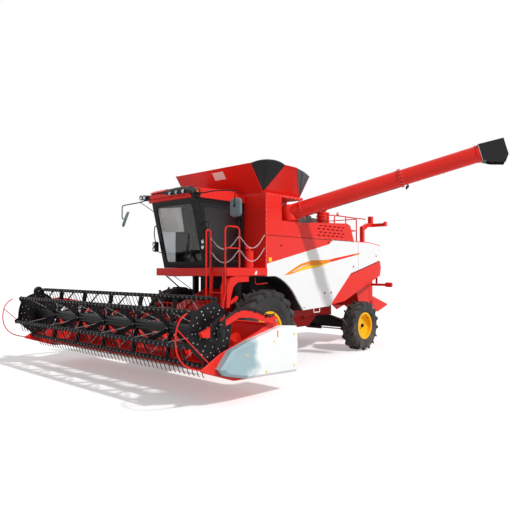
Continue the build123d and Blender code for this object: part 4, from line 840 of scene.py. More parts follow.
tine = Bench(local=True)
coil_turns = [step * COIL_STEP + COIL_START for step in range(10)]
tine.tube([(-9 + 2 * step, COIL_RADIUS * math.sin(turn), -COIL_RADIUS * math.cos(turn))
           for step, turn in enumerate(coil_turns)], 4, black_coat, sides=4)
drop = Vector((0, math.sin(TINE_LEAN), -math.cos(TINE_LEAN)))
tine.tube([Vector(foot) + drop * reach for foot, reach in (
    ((9, 0, 0), 22), ((9, 0, 0), 120), ((7, -7, 0), 176), ((6, 4, 0), 212))], 6.5, black_coat, sides=5)
clamp = Bench(local=True)
clamp.block((-34, 34), (-33, 33), (-31, 33), black_plastic, bevel=11)
on_bar = ((tine.sent("tine_shape"), black_coat), (clamp.sent("clamp_shape"), black_plastic))

for number in range(BARS):
    y, z = about_reel(number, REEL_RADIUS)
    bench = Bench()
    bench.tube([(-2652, y, z), (-900, y, z), (900, y, z), (2652, y, z)], 18, black_coat, sides=12)
    for side in (-1, 1):
        bench.turned((side * 2690, y, z), (-side, 0, 0), [(0, 13.8), (40, 13.8)], steel_bare, 12)
    for shape, finish in on_bar:
        row_on(bench, shape, finish, TINES, (FIRST_TINE, y, z), TINE_PITCH)
    bolt_row(bench, (FIRST_TINE - 2, y - 33, z), (TINE_PITCH, 0, 0), TINES, (0, -1, 0), 5)
    bench.sent(f"tine_bar_wires_{number + 1}", f"tines_{number + 1}", [f"tine_bar_{number + 1}"])
for shape, finish in on_bar:
    bpy.data.objects.remove(shape)

# %% Braces and end plates
SPIDERS = (-1800, -900, 0, 900, 1800)
END_FACE = 2690
bench = Bench()
for number in range(BARS):
    hub, end, bar = (about_reel(number, radius) for radius in (88, REEL_RADIUS - 32, REEL_RADIUS))
    for x in SPIDERS + (2640,):
        rod_x = x - 450
        bench.tube([(x - 14, *hub), (rod_x, *end)], 6, bright_wire, sides=8)
        bench.turned((rod_x - 11, *bar), (1, 0, 0),
                     [(0, 27.5), (0, 35), (22, 35), (22, 27.5)], black_coat, 16, looped=True)
    turn = math.radians(110 + 60 * number)
    across = Vector((0, math.cos(turn), math.sin(turn)))
    for x in (-2640,) + SPIDERS:
        bench.rings([[Vector((along + thick, *place)) + across * side * half
                      for thick, side in ((0, 1), (5, 1), (5, -1), (0, -1))]
                     for along, place, half in ((x + 14, hub, 24), (x + 442, end, 13))], black_coat)
for way in (-1, 1):
    for x in SPIDERS:
        bench.turned((x + way * 5, *REEL), (way, 0, 0), [(0, 86), (0, 104), (8, 104), (12, 98), (12, 86)],
                     black_coat, looped=True)
        bolt_ring(bench, (x + way * 17, *REEL), (way, 0, 0), 6, 95, 6)
    bench.turned((way * END_FACE, *REEL), (way, 0, 0),
                 [(0, 150), (5, 150), (10, 132), (10, 60), (22, 52), (22, 36)], black_coat, 36)
    bolt_ring(bench, (way * 2700, *REEL), (way, 0, 0), 8, 112, 8)
    for number in range(BARS):
        bench.turned((way * 2690.5, *about_reel(number, REEL_RADIUS)), (way, 0, 0),
                     [(0, 28), (9, 26), (12, 12)], black_coat, 18)
        for turn in (-13, 13):
            bolt(bench, (way * END_FACE, *about_reel(number + turn / 60, 398)), (way, 0, 0), 7)
        bench.tube([(way * END_FACE, *about_reel(number + 0.5, radius)) for radius in (170, 385)], 7,
                   black_coat, sides=8)
    for count, ring in ((9, 215), (12, 290), (18, 350)):
        bolt_ring(bench, (2690 if way > 0 else -2681.8, *REEL), (1, 0, 0), count, ring, 8)
bench.sent("reel_braces", "reel")

# %% [markdown]
# ## Reel drive
# A hydraulic motor on the left arm turns the reel. It is a cast housing on a flange, fed by two
# pipes that run back along the arm, and its shapes are all turned or bent on the bench. A
# small guide wheel stands on the far arm.

# %% Reel motor, pipes and arm ends
REEL_Y, REEL_Z = REEL
ARM_FACE = 2850.4
bench = Bench()
bench.turned((2850.5, *REEL), (1, 0, 0), [(0, 96), (10, 96), (12, 80), (61, 79), (64, 70), (64, 24)],
             black_coat, 32)
bench.turned((2914, *REEL), (1, 0, 0), [(0, 46), (14, 44), (22, 30), (24, 8)], black_coat, 24)
bolt_ring(bench, (2861, *REEL), (1, 0, 0), 6, 88, 7)
bench.block((2862, 2908), (REEL_Y - 30, REEL_Y + 45), (REEL_Z + 66, REEL_Z + 118), black_coat, 6)
for shift, rise in ((0, 0), (26, 24)):
    bench.tube([(2880, REEL_Y + 5 + shift, REEL_Z + 110), (2880, REEL_Y + 15 + shift, REEL_Z + 168),
                (2872, REEL_Y + 120, REEL_Z + 190 + rise)]
               + [(2862, y, z + rise) for y, z in ((-2250, 1420), (-2100, 1428), (-1900, 1386), (-1560, 1270),
                                                   (-1430, 1290))], 9, black_plastic, bend=60, sides=8)
    bench.turned((2880, REEL_Y + 5 + shift, REEL_Z + 108), (0, 0, 1), [(0, 13), (16, 13)], zinc_bolt, 6)
for y, z in ((-2250, 1412), (-1900, 1378), (-1640, 1284)):
    bench.block((2850.5, 2872), (y - 11, y + 11), (z - 24, z + 24), black_coat, 3)
for side in (-1, 1):
    for y, z, size in ((-1400, 1200, 20), (-2470, 1268, 9), (-2330, 1320, 9), (-2840, 1112, 9)):
        bolt(bench, (side * 2850.3, y, z), (side, 0, 0), size)
bench.turned((-2850.3, *REEL), (-1, 0, 0), [(0, 62), (8, 60), (14, 48), (16, 14)], black_coat, 24)
bracket = eased_corners([(-2812, 1030), (-2812, 1212), (-2700, 1330), (-2548, 1368), (-2518, 1300),
                         (-2505, 1110), (-2600, 985), (-2740, 980)], 34, 4)
bench.prism(bracket, "x", ARM_FACE, 2855, black_coat)
bench.prism([(-2640, 1290), (-2535, 1348), (-2535, 1296), (-2628, 1246)], "x", 2855, 2861, red_coat, 2)
for y, z in ((-2780, 1060), (-2780, 1180), (-2700, 1286), (-2560, 1180), (-2590, 1030), (-2740, 1010)):
    bolt(bench, (2855, y, z), (1, 0, 0), 8)
GUIDE = (-2590, 1548)          # y, z of the guide wheel
bench.turned((-2806, *GUIDE), (-1, 0, 0), [(0, 30), (0, 96), (6, 104), (20, 104), (26, 96), (26, 30)],
             black_coat, 32, looped=True)
bench.turned((-2802, *GUIDE), (-1, 0, 0), [(0, 16), (36, 16), (40, 10)], zinc_bolt, 16)
bench.turned((-ARM_FACE, *GUIDE), (1, 0, 0), [(0, 20), (24, 20)], black_coat, 16)
for number in range(5):
    turn = 2 * math.pi * number / 5
    bench.tube([(-2819, GUIDE[0] + reach * math.cos(turn), GUIDE[1] + reach * math.sin(turn))
                for reach in (14, 94)], 7, black_coat, sides=6)
bench.prism([(-2625, 1548), (-2580, 1580), (-2400, 1360), (-2410, 1300), (-2480, 1300)], "x", -2858, -2850.5,
            black_coat, 2)
bench.sent("reel_drive", "reel_lift")

# %% [markdown]
# ## Knife
# Cast fingers guard a knife of riveted triangles that slides behind them. Fingers and triangles
# are each one small shape in a row, at the real three-inch pitch, on a folded steel back.

# %% Knife and guards
KNIFE_Y, KNIFE_Z = -2300, 455
KNIFE_PITCH = 76.2
GUARDS = 71
FIRST_GUARD = -(GUARDS - 1) / 2 * KNIFE_PITCH
bench = Bench()
bench.block((-2738, 2738), (KNIFE_Y - 40, KNIFE_Y - 1), (KNIFE_Z - 16, KNIFE_Z - 6), steel_bare, 2)
guard = Bench(local=True)
guard.rings([[(-half, y, low), (half, y, low), (half, y, high), (-half, y, high)] for half, y, low, high in
             ((9, 0, -16, 3), (8, -34, -15, 4), (6, -62, -11, 1), (2.5, -88, -7, -3), (0.8, -94, -5, -4))],
            steel_bare)
section = Bench(local=True)
section.prism([(-35, 0), (35, 0), (6, -62), (-6, -62)], "z", -1.5, 1.5, steel_bare)
for shape, drop, shift in ((guard.sent("guard_shape"), 1, 0), (section.sent("section_shape"), 4, 0.3)):
    row_on(bench, shape, steel_bare, GUARDS,
           (FIRST_GUARD + shift * KNIFE_PITCH, KNIFE_Y - 14, KNIFE_Z - drop), KNIFE_PITCH)
    bpy.data.objects.remove(shape)
bolt_row(bench, (FIRST_GUARD, KNIFE_Y - 24, KNIFE_Z - 4), (KNIFE_PITCH, 0, 0), GUARDS, (0, 0, 1), 5)
bench.sent("knife_and_guards", "header", ["cutterbar"])

# %% [markdown]
# ## Header ends
# The side sheets are edged with bent tube. The drive's cover is a moulded shell with a
# folded edge, held by quarter-turn catches. Folded rims are thin strips along each outline.

# %% Smooth runs
def smooth_run(points, count):
    """A smooth run through a few points, from the curve that Blender makes of them."""
    curve = bpy.data.curves.new("Run", "CURVE")
    curve.dimensions = "3D"
    spline = curve.splines.new("NURBS")
    spline.points.add(len(points) - 1)
    for knot, point in zip(spline.points, points):
        knot.co = (*point, 1)
    spline.order_u = 4
    spline.use_endpoint_u = True
    spline.resolution_u = count // (len(points) - 1)
    holder = linked("Run", curve)
    run = [vertex.co.copy() for vertex in evaluated(holder).vertices]
    bpy.data.objects.remove(holder)
    return run


print("smooth run of 12 steps:", len(smooth_run([(0, 0, 0), (1, 0, 0), (1, 1, 0), (2, 1, 0)], 12)), "points")

# %% Divider tubes and table ribs
END_X = 2755.3          # the middle of an end sheet
bench = Bench()
for side in (-1, 1):
    for radius, bend, edge in (
            (17, 14, [(-2892, 596), (-2716, 688), (-2528, 783), (-1700, 1038), (-1500, 1122), (-1450, 1252),
                      (-1350, 1252), (-1310, 1172), (-1252, 1098)]),
            (16.5, 20, [(-2892, 592), (-2250, 378), (-1345, 338), (-1252, 349)])):
        bench.tube([(side * END_X, y, z) for y, z in edge], radius, red_coat, bend=bend)
    for y, z in ((-2820, 622), (-2660, 640), (-2500, 640), (-2380, 740)):
        bolt(bench, (side * 2770.6, y, z), (side, 0, 0), 9)
for x in range(-2600, 2700, 325):
    bench.block((x - 12, x + 12), (-1339.5, -1331), (345, 1148), red_coat)
for low, high in ((1118, 1150), (560, 592)):
    bench.block((-2738, 2738), (-1339.5, -1322), (low, high), red_coat, 3)
bench.sent("header_edges", "header")

# %% Cover trim
COVER = [(-2640, 590), (-2540, 490), (-2110, 390), (-1360, 350), (-900, 330), (-870, 760),
         (-890, 1080), (-1240, 1110), (-2000, 950), (-2420, 830)]
COVER_FACE = 2919.4
bench = Bench()
bench.tube([(2788, y + 2, z - 2) for y, z in COVER[:5]], 7, black_plastic, bend=10, sides=8)
middle = [sum(corner[k] for corner in COVER) / len(COVER) for k in (0, 1)]
inset = [(middle[0] + (y - middle[0]) * 0.93, middle[1] + (z - middle[1]) * 0.86) for y, z in COVER]
bench.tube([(2918.6, y, z) for y, z in inset + inset[:1]], 2.2, cover_coat_with_painted_shade, bend=30, sides=6)
for y, z in ((-2130, 745), (-1010, 960), (-1010, 450), (-1700, 440)):
    bench.turned((2919.6, y, z), (1, 0, 0), [(0, 20), (3, 19), (3, 9), (8, 8)], sun_yellow_coat, 20)
bench.block((COVER_FACE, 2921), (-1446, -1412), (942, 1052), amber_coat, 1)
bench.block((COVER_FACE, 2921), (-1530, -1500), (868, 900), sun_yellow_coat, 1)
bench.sent("drive_cover_trim", "header")

# %% [markdown]
# ## Cab trim
# Panes are bonded into rubber frames with rounded corners, and those black bands give the cab
# its drawn look. Each band is one closed loft between an outer and an inner rounded outline,
# laid on the plane of its pane.

# %% Planes of the panes
CAB_FLOOR = 2050.3
CAB_FOOT_Y = -870
CAB_LEAN = math.atan2(330, 3400 - CAB_FLOOR)


def screen_y(z, inward):
    """The y of a line parallel to the windscreen, a distance inside it, at one height."""
    return CAB_FOOT_Y + inward / math.cos(CAB_LEAN) - (z - CAB_FLOOR) * math.tan(CAB_LEAN)


def on_screen(x, z, inward):
    """A point on the windscreen's plane or inside it."""
    return (x, screen_y(z, inward), z)


def band(bench, outer, inner, placed, front, back):
    """A flat frame between two outlines, its place given by a rule for (a, b, depth)."""
    bench.rings([[placed(a1, b1, front + 2), placed(a1 * 0.999 + a2 * 0.001, b1, front),
                  placed(a2, b2, front), placed(a2, b2, back), placed(a1, b1, back)]
                 for (a1, b1), (a2, b2) in zip(outer, inner)], black_plastic, looped=True)


def side_outline(low, high, inward, back, radius):
    """The rounded outline of a side pane, its front edge along the windscreen."""
    return eased_corners([(screen_y(low[0], inward), low[1]), (back, low[1]), (back, high),
                          (screen_y(high, inward), high)], radius)


print("windscreen leans", round(math.degrees(CAB_LEAN), 1), "degrees")

# %% Pane frames and wiper
bench = Bench()
band(bench, eased_corners([(-612, 2128), (612, 2128), (612, 3342), (-612, 3342)], 5),
     eased_corners([(-562, 2176), (556, 2176), (552, 3296), (-562, 3296)], 110), on_screen, -4, 15)
band(bench, side_outline((2110, 2108), 3342, 70, 72, 5), side_outline((2158, 2158), 3294, 116, 26, 80),
     lambda y, z, inward: (inward - 683, y, z), -2, 16)
bench.tube([on_screen(648, 2330, -3), on_screen(652, 2345, -38), on_screen(655, 3120, -38),
            on_screen(650, 3135, -3)], 9, black_coat, bend=24, sides=8)
bench.turned(on_screen(60, 2196, 12), (0, -math.cos(CAB_LEAN), -math.sin(CAB_LEAN)),
             [(0, 22), (26, 20), (30, 12)], black_plastic, 16)
bench.tube([on_screen(60, 2196, -10), on_screen(110, 2330, -16), on_screen(205, 2500, -10)], 6, black_coat,
           bend=40, sides=6)
bench.tube([on_screen(118, 2290, 2), on_screen(205, 2500, -2), on_screen(292, 2730, 2)], 7, rubber_skin,
           sides=6)
bench.tube([(-713, -1262, 3462), (713, -1262, 3462)], 6, black_plastic, sides=6)
# A black panel inside the far side window: painted shade, darkening the view through the cab.
bench.block((-652, -646), (-590, 60), (2180, 3290), black_plastic)
for side in (-1, 1):
    bench.tube([(side * 717, -1250, 3403), (side * 717, 168, 3403)], 7, black_plastic, sides=6)
bench.sent("cab_trim", "machine")

# %% Door trim
bench = Bench()
band(bench, side_outline((2170, 2170), 3280, 138, 8, 10), side_outline((2200, 2200), 3248, 168, -22, 85),
     lambda y, z, inward: (680 - inward, y, z), -1.5, 13)
bench.block((678, 704), (-790, -690), (2520, 2568), black_plastic, 6)
bench.turned((702, -715, 2545), (1, 0, 0), [(0, 11), (8, 11), (10, 7)], zinc_bolt, 16)
for level in (2350, 3110):
    bolt_row(bench, (680.5, 40, level - 12), (0, 0, 24), 2, (1, 0, 0), 5)
bench.sent("door_trim", "cab_door")

# %% Panes and shade
bench = Bench()
bench.rings([[on_screen(x, z, depth) for x, z in ((-609, 2131), (609, 2131), (609, 3339), (-609, 3339))]
             for depth in (14, 22)], screen_pane)
bench.prism([(screen_y(2111, 75) + 1, 2111), (69, 2111), (69, 3339), (screen_y(3339, 75) + 1, 3339)],
            "x", -666, -658, cab_pane)
bench.block((-499, 499), (128, 136), (2801, 3299), cab_pane, 0.5)
bench.sent("cab_panes", "machine", ["cab_glass"])

bench = Bench()
corners = eased_corners([(-570, 2800), (106, 2778), (142, 3262), (-590, 3300)], 20, 3)
bench.rings([[on_screen(x, z, inward + 6 * math.sin(x / 130)) for x, z in corners] for inward in (58, 60)],
            glowing_shade_film)
bench.tube([on_screen(-592, 3302, 60), on_screen(146, 3264, 60)], 8, black_plastic, sides=8)
bench.sent("sun_shade", "machine")

# %% [markdown]
# ## Driver's place
# The wheel's rim is a padded ring, so a torus of round section on a tilted plane does it, with
# three flat spokes. Levers, a screen and a console follow, all small turned and bevelled shapes
# that only need to read through tinted glass.

# %% Steering wheel, levers and screen
STEER_HUB = Vector((0, -555, 2755))
STEER_WAY = (STEER_HUB - Vector((0, -780, 2110.3))).normalized()
RIM_RADIUS, RIM_SIDES = 176, 48
aside = Vector((1, 0, 0))
above = STEER_WAY.cross(aside)
middle = STEER_HUB + STEER_WAY * 11
bench = Bench()
bench.rings([circle(spot, (spot - middle).normalized(), STEER_WAY, 12.5, 10)
             for spot in circle(middle, aside, above, RIM_RADIUS, RIM_SIDES)], black_plastic, looped=True)
bench.turned(STEER_HUB + STEER_WAY * 1, STEER_WAY, [(0, 44), (14, 46), (24, 38), (28, 12)], black_plastic)
for turn in (-0.5, math.pi + 0.5, math.pi / 2):
    out = aside * math.cos(turn) + above * math.sin(turn)
    flat = STEER_WAY.cross(out)
    bench.rings([[middle + out * reach - STEER_WAY * sink + flat * half * a + STEER_WAY * 3 * b
                  for a, b in ((1, -1), (1, 1), (-1, 1), (-1, -1))]
                 for reach, half, sink in ((36, 20, 6), (100, 13, 0), (170, 16, 0))], black_plastic)
bench.sent("steering_wheel_rim", "machine", ["steering_wheel"])

bench = Bench()
bench.block((-366, -264), (-470, -60), (2641, 2672), black_plastic, 10)
for x, y in ((-330, -420), (-300, -350)):
    bench.tube([(x, y, 2668), (x, y - 20, 2760), (x, y - 26, 2812)], 7, steel_bare, bend=20, sides=8)
    bench.turned((x, y - 26, 2806), (0, -0.1, 1), [(0, 14), (14, 24), (42, 26), (62, 18), (70, 5)],
                 black_plastic, 16)
for run in ([(430, -820, 2240), (430, -800, 2760), (400, -770, 2800)],
            [(430, -820, 2240), (560, -820, 2130), (600, -800, 2100)]):
    bench.tube(run, 14, black_plastic, bend=60, sides=8)
bench.block((300, 480), (-792, -760), (2790, 2920), black_plastic, 12)
bench.block((316, 464), (-759, -757), (2806, 2904), clear_lens, 1)
bench.block((-190, 190), (-416, -44), (2398, 2431), black_plastic, 10)
for x in (-262, 262):
    bench.tube([(x, -20, 2560), (x, -30, 2740), (x, -330, 2760)], 16, black_plastic, bend=50, sides=8)
    bench.block((x - 32, x + 32), (-370, -70), (2752, 2792), seat_weave, 12)
for x in (-120, 120):
    bench.tube([(x, 40, 3080), (x * 0.9, 44, 3170)], 8, steel_bare, sides=8)
bench.sent("driver_controls", "machine")

# %% [markdown]
# ## Seat
# The seat is foam under woven cloth. It starts as a slightly small block with an eased edge and
# is blown up by the cloth solver against its own skin, which gives the crown and the soft pull
# at the corners that modelling by hand seldom does.

# %% Cushions
PAD_FILL, PAD_PRESSURE, PAD_FRAMES = 0.75, 4, 20


def applied(target):
    """Make an object's modifiers part of its mesh."""
    mesh = evaluated(target)
    target.modifiers.clear()
    target.data = mesh


def cushion(name, section, half, cap):
    """A padded block from a (y, z) section, swollen by cloth pressure and capped."""
    bench = Bench()
    outline = eased_corners(section, 26, 3)
    middle = [sum(corner[k] for corner in outline) / len(outline) for k in (0, 1)]
    bench.rings([[(x, middle[0] + (y - middle[0]) * share, middle[1] + (z - middle[1]) * share)
                  for y, z in outline]
                 for x, share in ((-half, 0.82), (12 - half, 0.95), (34 - half, 1.0), (half - 34, 1.0),
                                  (half - 12, 0.95), (half, 0.82))], seat_weave)
    pad = bench.sent(name)
    remesh = pad.modifiers.new("Even", "REMESH")
    remesh.mode = "VOXEL"
    remesh.voxel_size = 0.008
    applied(pad)
    rest = [vertex.co.copy() for vertex in pad.data.vertices]
    cloth = pad.modifiers.new("Swell", "CLOTH")
    cloth.settings.use_pressure = True
    cloth.settings.uniform_pressure_force = PAD_PRESSURE
    cloth.settings.effector_weights.gravity = 0
    for frame_number in range(1, PAD_FRAMES + 1):
        bpy.context.scene.frame_set(frame_number)
    applied(pad)
    bpy.context.scene.frame_set(1)
    for vertex, start in zip(pad.data.vertices, rest):
        move = vertex.co - start
        if move.length > cap:
            vertex.co = start + move.normalized() * cap
    finer = pad.modifiers.new("Smooth", "SUBSURF")
    finer.levels = finer.render_levels = 1
    applied(pad)
    pad.data.shade_smooth()
    pad.data.materials.clear()
    pad.data.materials.append(seat_weave)
    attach(pad, "machine")
    print(name, "vertices:", len(pad.data.vertices))
    return pad


cushion("seat_cushion", [(-448, 2438), (-70, 2438), (-70, 2528), (-448, 2520)], 230, 0.010)
back_pad = cushion("seat_back", [(-52, 2560), (12, 2546), (58, 3080), (8, 3095)], 215, 0.010)
cushion("seat_headrest", [(-8, 3140), (62, 3140), (66, 3268), (2, 3276)], 130, 0.008)
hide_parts("seat")

# %% [markdown]
# ## Lamps
# A work lamp is a bowl with a bright reflector behind a clear lens in a dark rim. One builder
# turns all three parts, and every lamp on the machine calls it with its own place and way.

# %% Lamp builder
def round_lamp(bench, centre, way, radius, deep=46):
    """A round lamp that shines along a way."""
    way = Vector(way).normalized()
    for back, steps, finish in (
            (deep, [(0, 0.42), (0.45, 0.92), (0.7, 1.04), (1.02, 1.06), (1.02, 0.90), (0.78, 0.86),
                    (0.40, 0.40)], black_plastic),
            (deep * 0.42, [(0, 0.20), (0.2, 0.62), (0.36, 0.88), (0.37, 0.84), (0.22, 0.58), (0.03, 0.16)],
             reflector)):
        bench.turned(Vector(centre) - way * back, way, [(deep * a, radius * r) for a, r in steps], finish, 24)
    bench.turned(Vector(centre) - way * 4, way,
                 [(0, radius * 0.89), (2.5, radius * 0.89), (5, radius * 0.6), (5.6, radius * 0.1)],
                 clear_lens, 24)


print("lamp builder ready")

# %% Lamp sets
LAMP_LEVEL = 2890
BEACON_Z = 3470
bench = Bench()
for x, y, z, lean, radius, deep in (
        (86, -1345, 3512, 0.06, 47, 46), (283, -1345, 3519, 0.06, 47, 46), (480, -1345, 3524, 0.06, 47, 46),
        (-885, -1335, 3516, 0.05, 50, 70), (-768, -1335, 3512, 0.05, 50, 70)):
    round_lamp(bench, (x, y, z), (0, -1, -lean), radius, deep)
for x, y, z, finish, bevel in (
        ((-945, -715), (-1270, -1170), (3478, 3566), black_plastic, 14),
        ((-720, -640), (-1300, -1190), (3466, 3540), black_plastic, 12),
        ((-902, -714), (-1206, -1166), (3462, 3480), black_coat, 3),
        ((713, 812), (-1252, -1172), (BEACON_Z - 8, BEACON_Z), black_coat, 3)):
    bench.block(x, y, z, finish, bevel)
tail_top = 1599 + (4960 - 4200) * 280 / 790       # just under the rear body's lower edge
pillar_y = screen_y(LAMP_LEVEL, 40)
for side in (-1, 1):
    x = side * 770
    bench.block((x - 58, x + 58), (-1058, -984), (2392, 2604), black_plastic, 12)
    for z in (2445, 2552):
        round_lamp(bench, (x, -1085, z), (0, -1, -0.05), 46, deep=34)
    for radius, bend, run in (
            (11, 60, [(682, pillar_y, LAMP_LEVEL), (740, pillar_y, 2925), (835, -1004, 2950),
                      (846, -1010, 2850), (838, -1012, 2700), (790, -1012, 2600)]),
            (9, 20, [(770, -990, 2400), (730, screen_y(2370, 40), 2372), (684, screen_y(2360, 40), 2362)])):
        bench.tube([(side * across, y, z) for across, y, z in run], radius, black_coat, bend=bend, sides=8)
    for inner, outer, y, z, finish, bevel in (
            (681, 694, (pillar_y - 22, pillar_y + 22), (2866, 2914), black_coat, 3),
            (942, 1398, (4932, 4988), (1577, 1643), red_coat, 8),
            (1387, 1573, (4918, 5002), (1550, 1676), red_coat, 12),
            (1404, 1556, (4996, 5004.5), (1562, 1664), red_lens, 3),
            (1566, 1574.5, (4930, 4992), (1570, 1656), red_lens, 3),
            (960, 1080, (4986, 4993), (1586, 1634), clear_lens, 3),
            (1160, 1250, (4986, 4993), (1586, 1634), amber_lens, 3),
            (1265, 1380, (4986, 4993), (1586, 1634), red_lens, 3),
            (1092, 1138, (4942, 4978), (1640, tail_top), shaded_red_coat, 2)):
        bench.block((side * inner, side * outer), y, z, finish, bevel)
for lift, profile, finish, sides in (
        (0, [(0, 43), (14, 43), (18, 38)], black_plastic, 24),
        (18, [(0, 37), (44, 36), (62, 29), (74, 15), (77, 3)], amber_lens, 24),
        (20, [(0, 16), (34, 16), (44, 6)], amber_coat, 16)):
    bench.turned((768, -1212, BEACON_Z + lift), (0, 0, 1), profile, finish, sides)
bench.sent("lamp_sets", "machine", ["lamps"])

# %% [markdown]
# ## Visor
# The roof's front overhang is a moulded shell whose crown rises and falls across the cab. It is
# a loft of one section through a few stations, with the red fascia and cap laid over it.

# %% Visor shell
bench = Bench()
bench.rings([[(x, -1262, 3456), (x, front, 3466), (x, front + 6, 3470 + (top - 3470) * 0.5),
              (x, front + 60, top - 22), (x, front + 120, top), (x, -1128, top - 8), (x, -1128, 3540)]
             for x, top, front in (
                 (-562, 3570, -1322), (-548, 3606, -1330), (-500, 3616, -1334), (160, 3642, -1336),
                 (430, 3640, -1336), (610, 3596, -1330), (712, 3556, -1316), (722, 3548, -1300))],
            black_plastic)
bench.rings([[(x, -1266, 3398), (x, -1272, 3470), (x, -1190, 3560), (x, -1100, 3560), (x, -1100, 3398)]
             for x in (636, 660, 719)], black_plastic)
bench.block((-556, 640), (-1268, -1258), (3404, 3458), red_coat, 3)
bench.rings([[(x, -1262, 3452), (x, -1342, 3460), (x, -1340, top), (x, -1330, top), (x, -1331, 3470),
              (x, -1262, 3460)]
             for x, top in ((-566, 3532), (-430, 3540), (-300, 3538), (-160, 3530), (-20, 3500), (70, 3476),
                            (350, 3470), (640, 3466))], red_coat)
bench.rings([[(x, -1338, 3566), (x, -1332, 3580 + lift), (x, -1228, 3632 + lift), (x, -1126, 3634 + lift),
              (x, -1126, 3620), (x, -1236, 3620), (x, -1322, 3566)]
             for x, lift in ((-567, 0), (-420, 3), (-260, 5), (-130, 6))], red_coat)
bench.sent("visor_shell", "machine")

# %% [markdown]
# ## Mirrors
# Each mirror is a moulded shell with a silvered pane on its rear face, on an arm of bent tube.
# A rounded outline in a few depths gives the shell's soft crown.

# %% Mirror heads and arms
def mirror_head(bench, middle, turn, tilt=0.0):
    """A shell of rounded outlines, its back crowned and its pane facing the driver."""
    up = Vector((0, 0, 1))
    across = Vector((math.cos(turn), math.sin(turn), 0))
    level_back = Vector((math.sin(turn), -math.cos(turn), 0))
    upward = up * math.cos(tilt) - level_back * math.sin(tilt)
    back = level_back * math.cos(tilt) + up * math.sin(tilt)
    for wide, tall, ease, depths, finish in (
            (138, 170, 76, ((-28, 0.93), (-26, 1.0), (4, 1.0), (20, 0.93), (28, 0.76), (30, 0.5)),
             mirror_shell),
            (124, 156, 52, ((-29.5, 1.0), (-27, 1.0)), mirror_face)):
        rings = []
        for depth, share in depths:
            loop = eased_corners([(a * wide * share, b * tall * share)
                                  for a, b in ((-1, -1), (1, -1), (1, 1), (-1, 1))], ease * share, 5)
            rings.append([Vector(middle) + across * a + upward * b + back * depth for a, b in loop])
        bench.rings(rings, finish)


bench = Bench()
mirror_head(bench, (1500, -930, 3162), 0)
mirror_head(bench, (-1425, -1345, 3105), math.radians(-30), math.radians(19))
bench.tube([(715.5, -1120, 3480), (800, -1120, 3480), (1100, -1060, 3500), (1500, -930, 3480),
            (1500, -950, 3330), (1500, -968, 3200)], 12, black_coat, bend=70)
bench.tube([(-715.5, -1090, 3530), (-800, -1090, 3530), (-1060, -1220, 3450), (-1500, -1380, 3400),
            (-1500, -1380, 3120), (-1440, -1352, 3100)], 12, black_coat, bend=50)
bench.tube([(-686, -1090, 3200), (-1060, -1220, 3450)], 8, black_coat)
for side, y, z in ((1, -1120, 3480), (-1, -1090, 3530)):
    bench.block((side * 715, side * 725), (y - 30, y + 30), (z - 26, z + 26), black_coat, 3)
    bolt_row(bench, (side * 725, y - 18, z), (0, 36, 0), 2, (side, 0, 0), 6)
bench.turned((1500, -962, 3190), (0, -1, 0), [(0, 26), (12, 24), (16, 10)], black_plastic, 20)
bench.sent("mirror_sets", "machine", ["mirrors"])

# %% [markdown]
# ## End sheets
# The end sheets are cut steel with a long divider in bent bar at their noses. The bar's bow is
# one easy curve, so it follows a spline. The sheet lets the auger's shaft through and carries
# the pin of the reel's arm, so a boolean cuts the hole before the pieces are joined.

# %% Side sheets and bows
END_SHEET = [(-2900, 590), (-2250, 372), (-1340, 332), (-1245, 345), (-1245, 1100), (-1310, 1180),
             (-1350, 1260), (-1450, 1260), (-1500, 1130), (-1700, 1045), (-2528, 790), (-2716, 695),
             (-2900, 600)]
BOW = [(-2850, 602), (-3130, 640), (-3335, 820), (-3372, 1110), (-3310, 1340), (-3160, 1412)]
SHAFT_HOLE, ARM_PIN = (-1720, 720), (-1400, 1200)          # y, z
bench = Bench()
for side in (-1, 1):
    x = side * END_X
    plain = Bench()
    plain.prism(END_SHEET, "x", *sorted((side * 2740.3, side * 2770.3)), red_coat, bevel=3)
    sheet = plain.sent("end_sheet")
    drill = Bench()
    drill.turned((side * 2755 - 80, *SHAFT_HOLE), (1, 0, 0), [(0, 33), (160, 33)], red_coat, 24)
    tool = drill.sent("shaft_drill")
    cut = sheet.modifiers.new("Hole", "BOOLEAN")
    cut.object = tool
    cut.solver = "EXACT"
    bench.absorb(evaluated(sheet), red_coat)
    for spent in (tool, sheet):
        bpy.data.objects.remove(spent)
    bench.tube(smooth_run([(x, y, z) for y, z in BOW], 60), 10, red_coat)
    bench.tube([(x, -3322, 1205), (x, -2730, 667)], 8, red_coat, sides=8)
    for foot, profile, finish in ((2768, [(0, 24.8), (101, 24.8), (103, 22)], steel_bare),
                                  (2740.2, [(28, 46), (36, 46), (38, 40)], red_coat)):
        bench.turned((side * foot, *ARM_PIN), (side, 0, 0), profile, finish, 24)
    bench.prism([(-2905, 588), (-2700, 520), (-2700, 640), (-2905, 604)], "x", x - 16.5, x + 16.5,
                red_coat, 4)
bench.sent("header_end_sheets", "header", ["header_ends"])

# %% [markdown]
# ## Platform
# The walkway is a pressed tray on two posts. Its tread is a raised pattern, set out in rows,
# and thin stays run from the posts to its front lip. A curved guard closes it over the wheel.

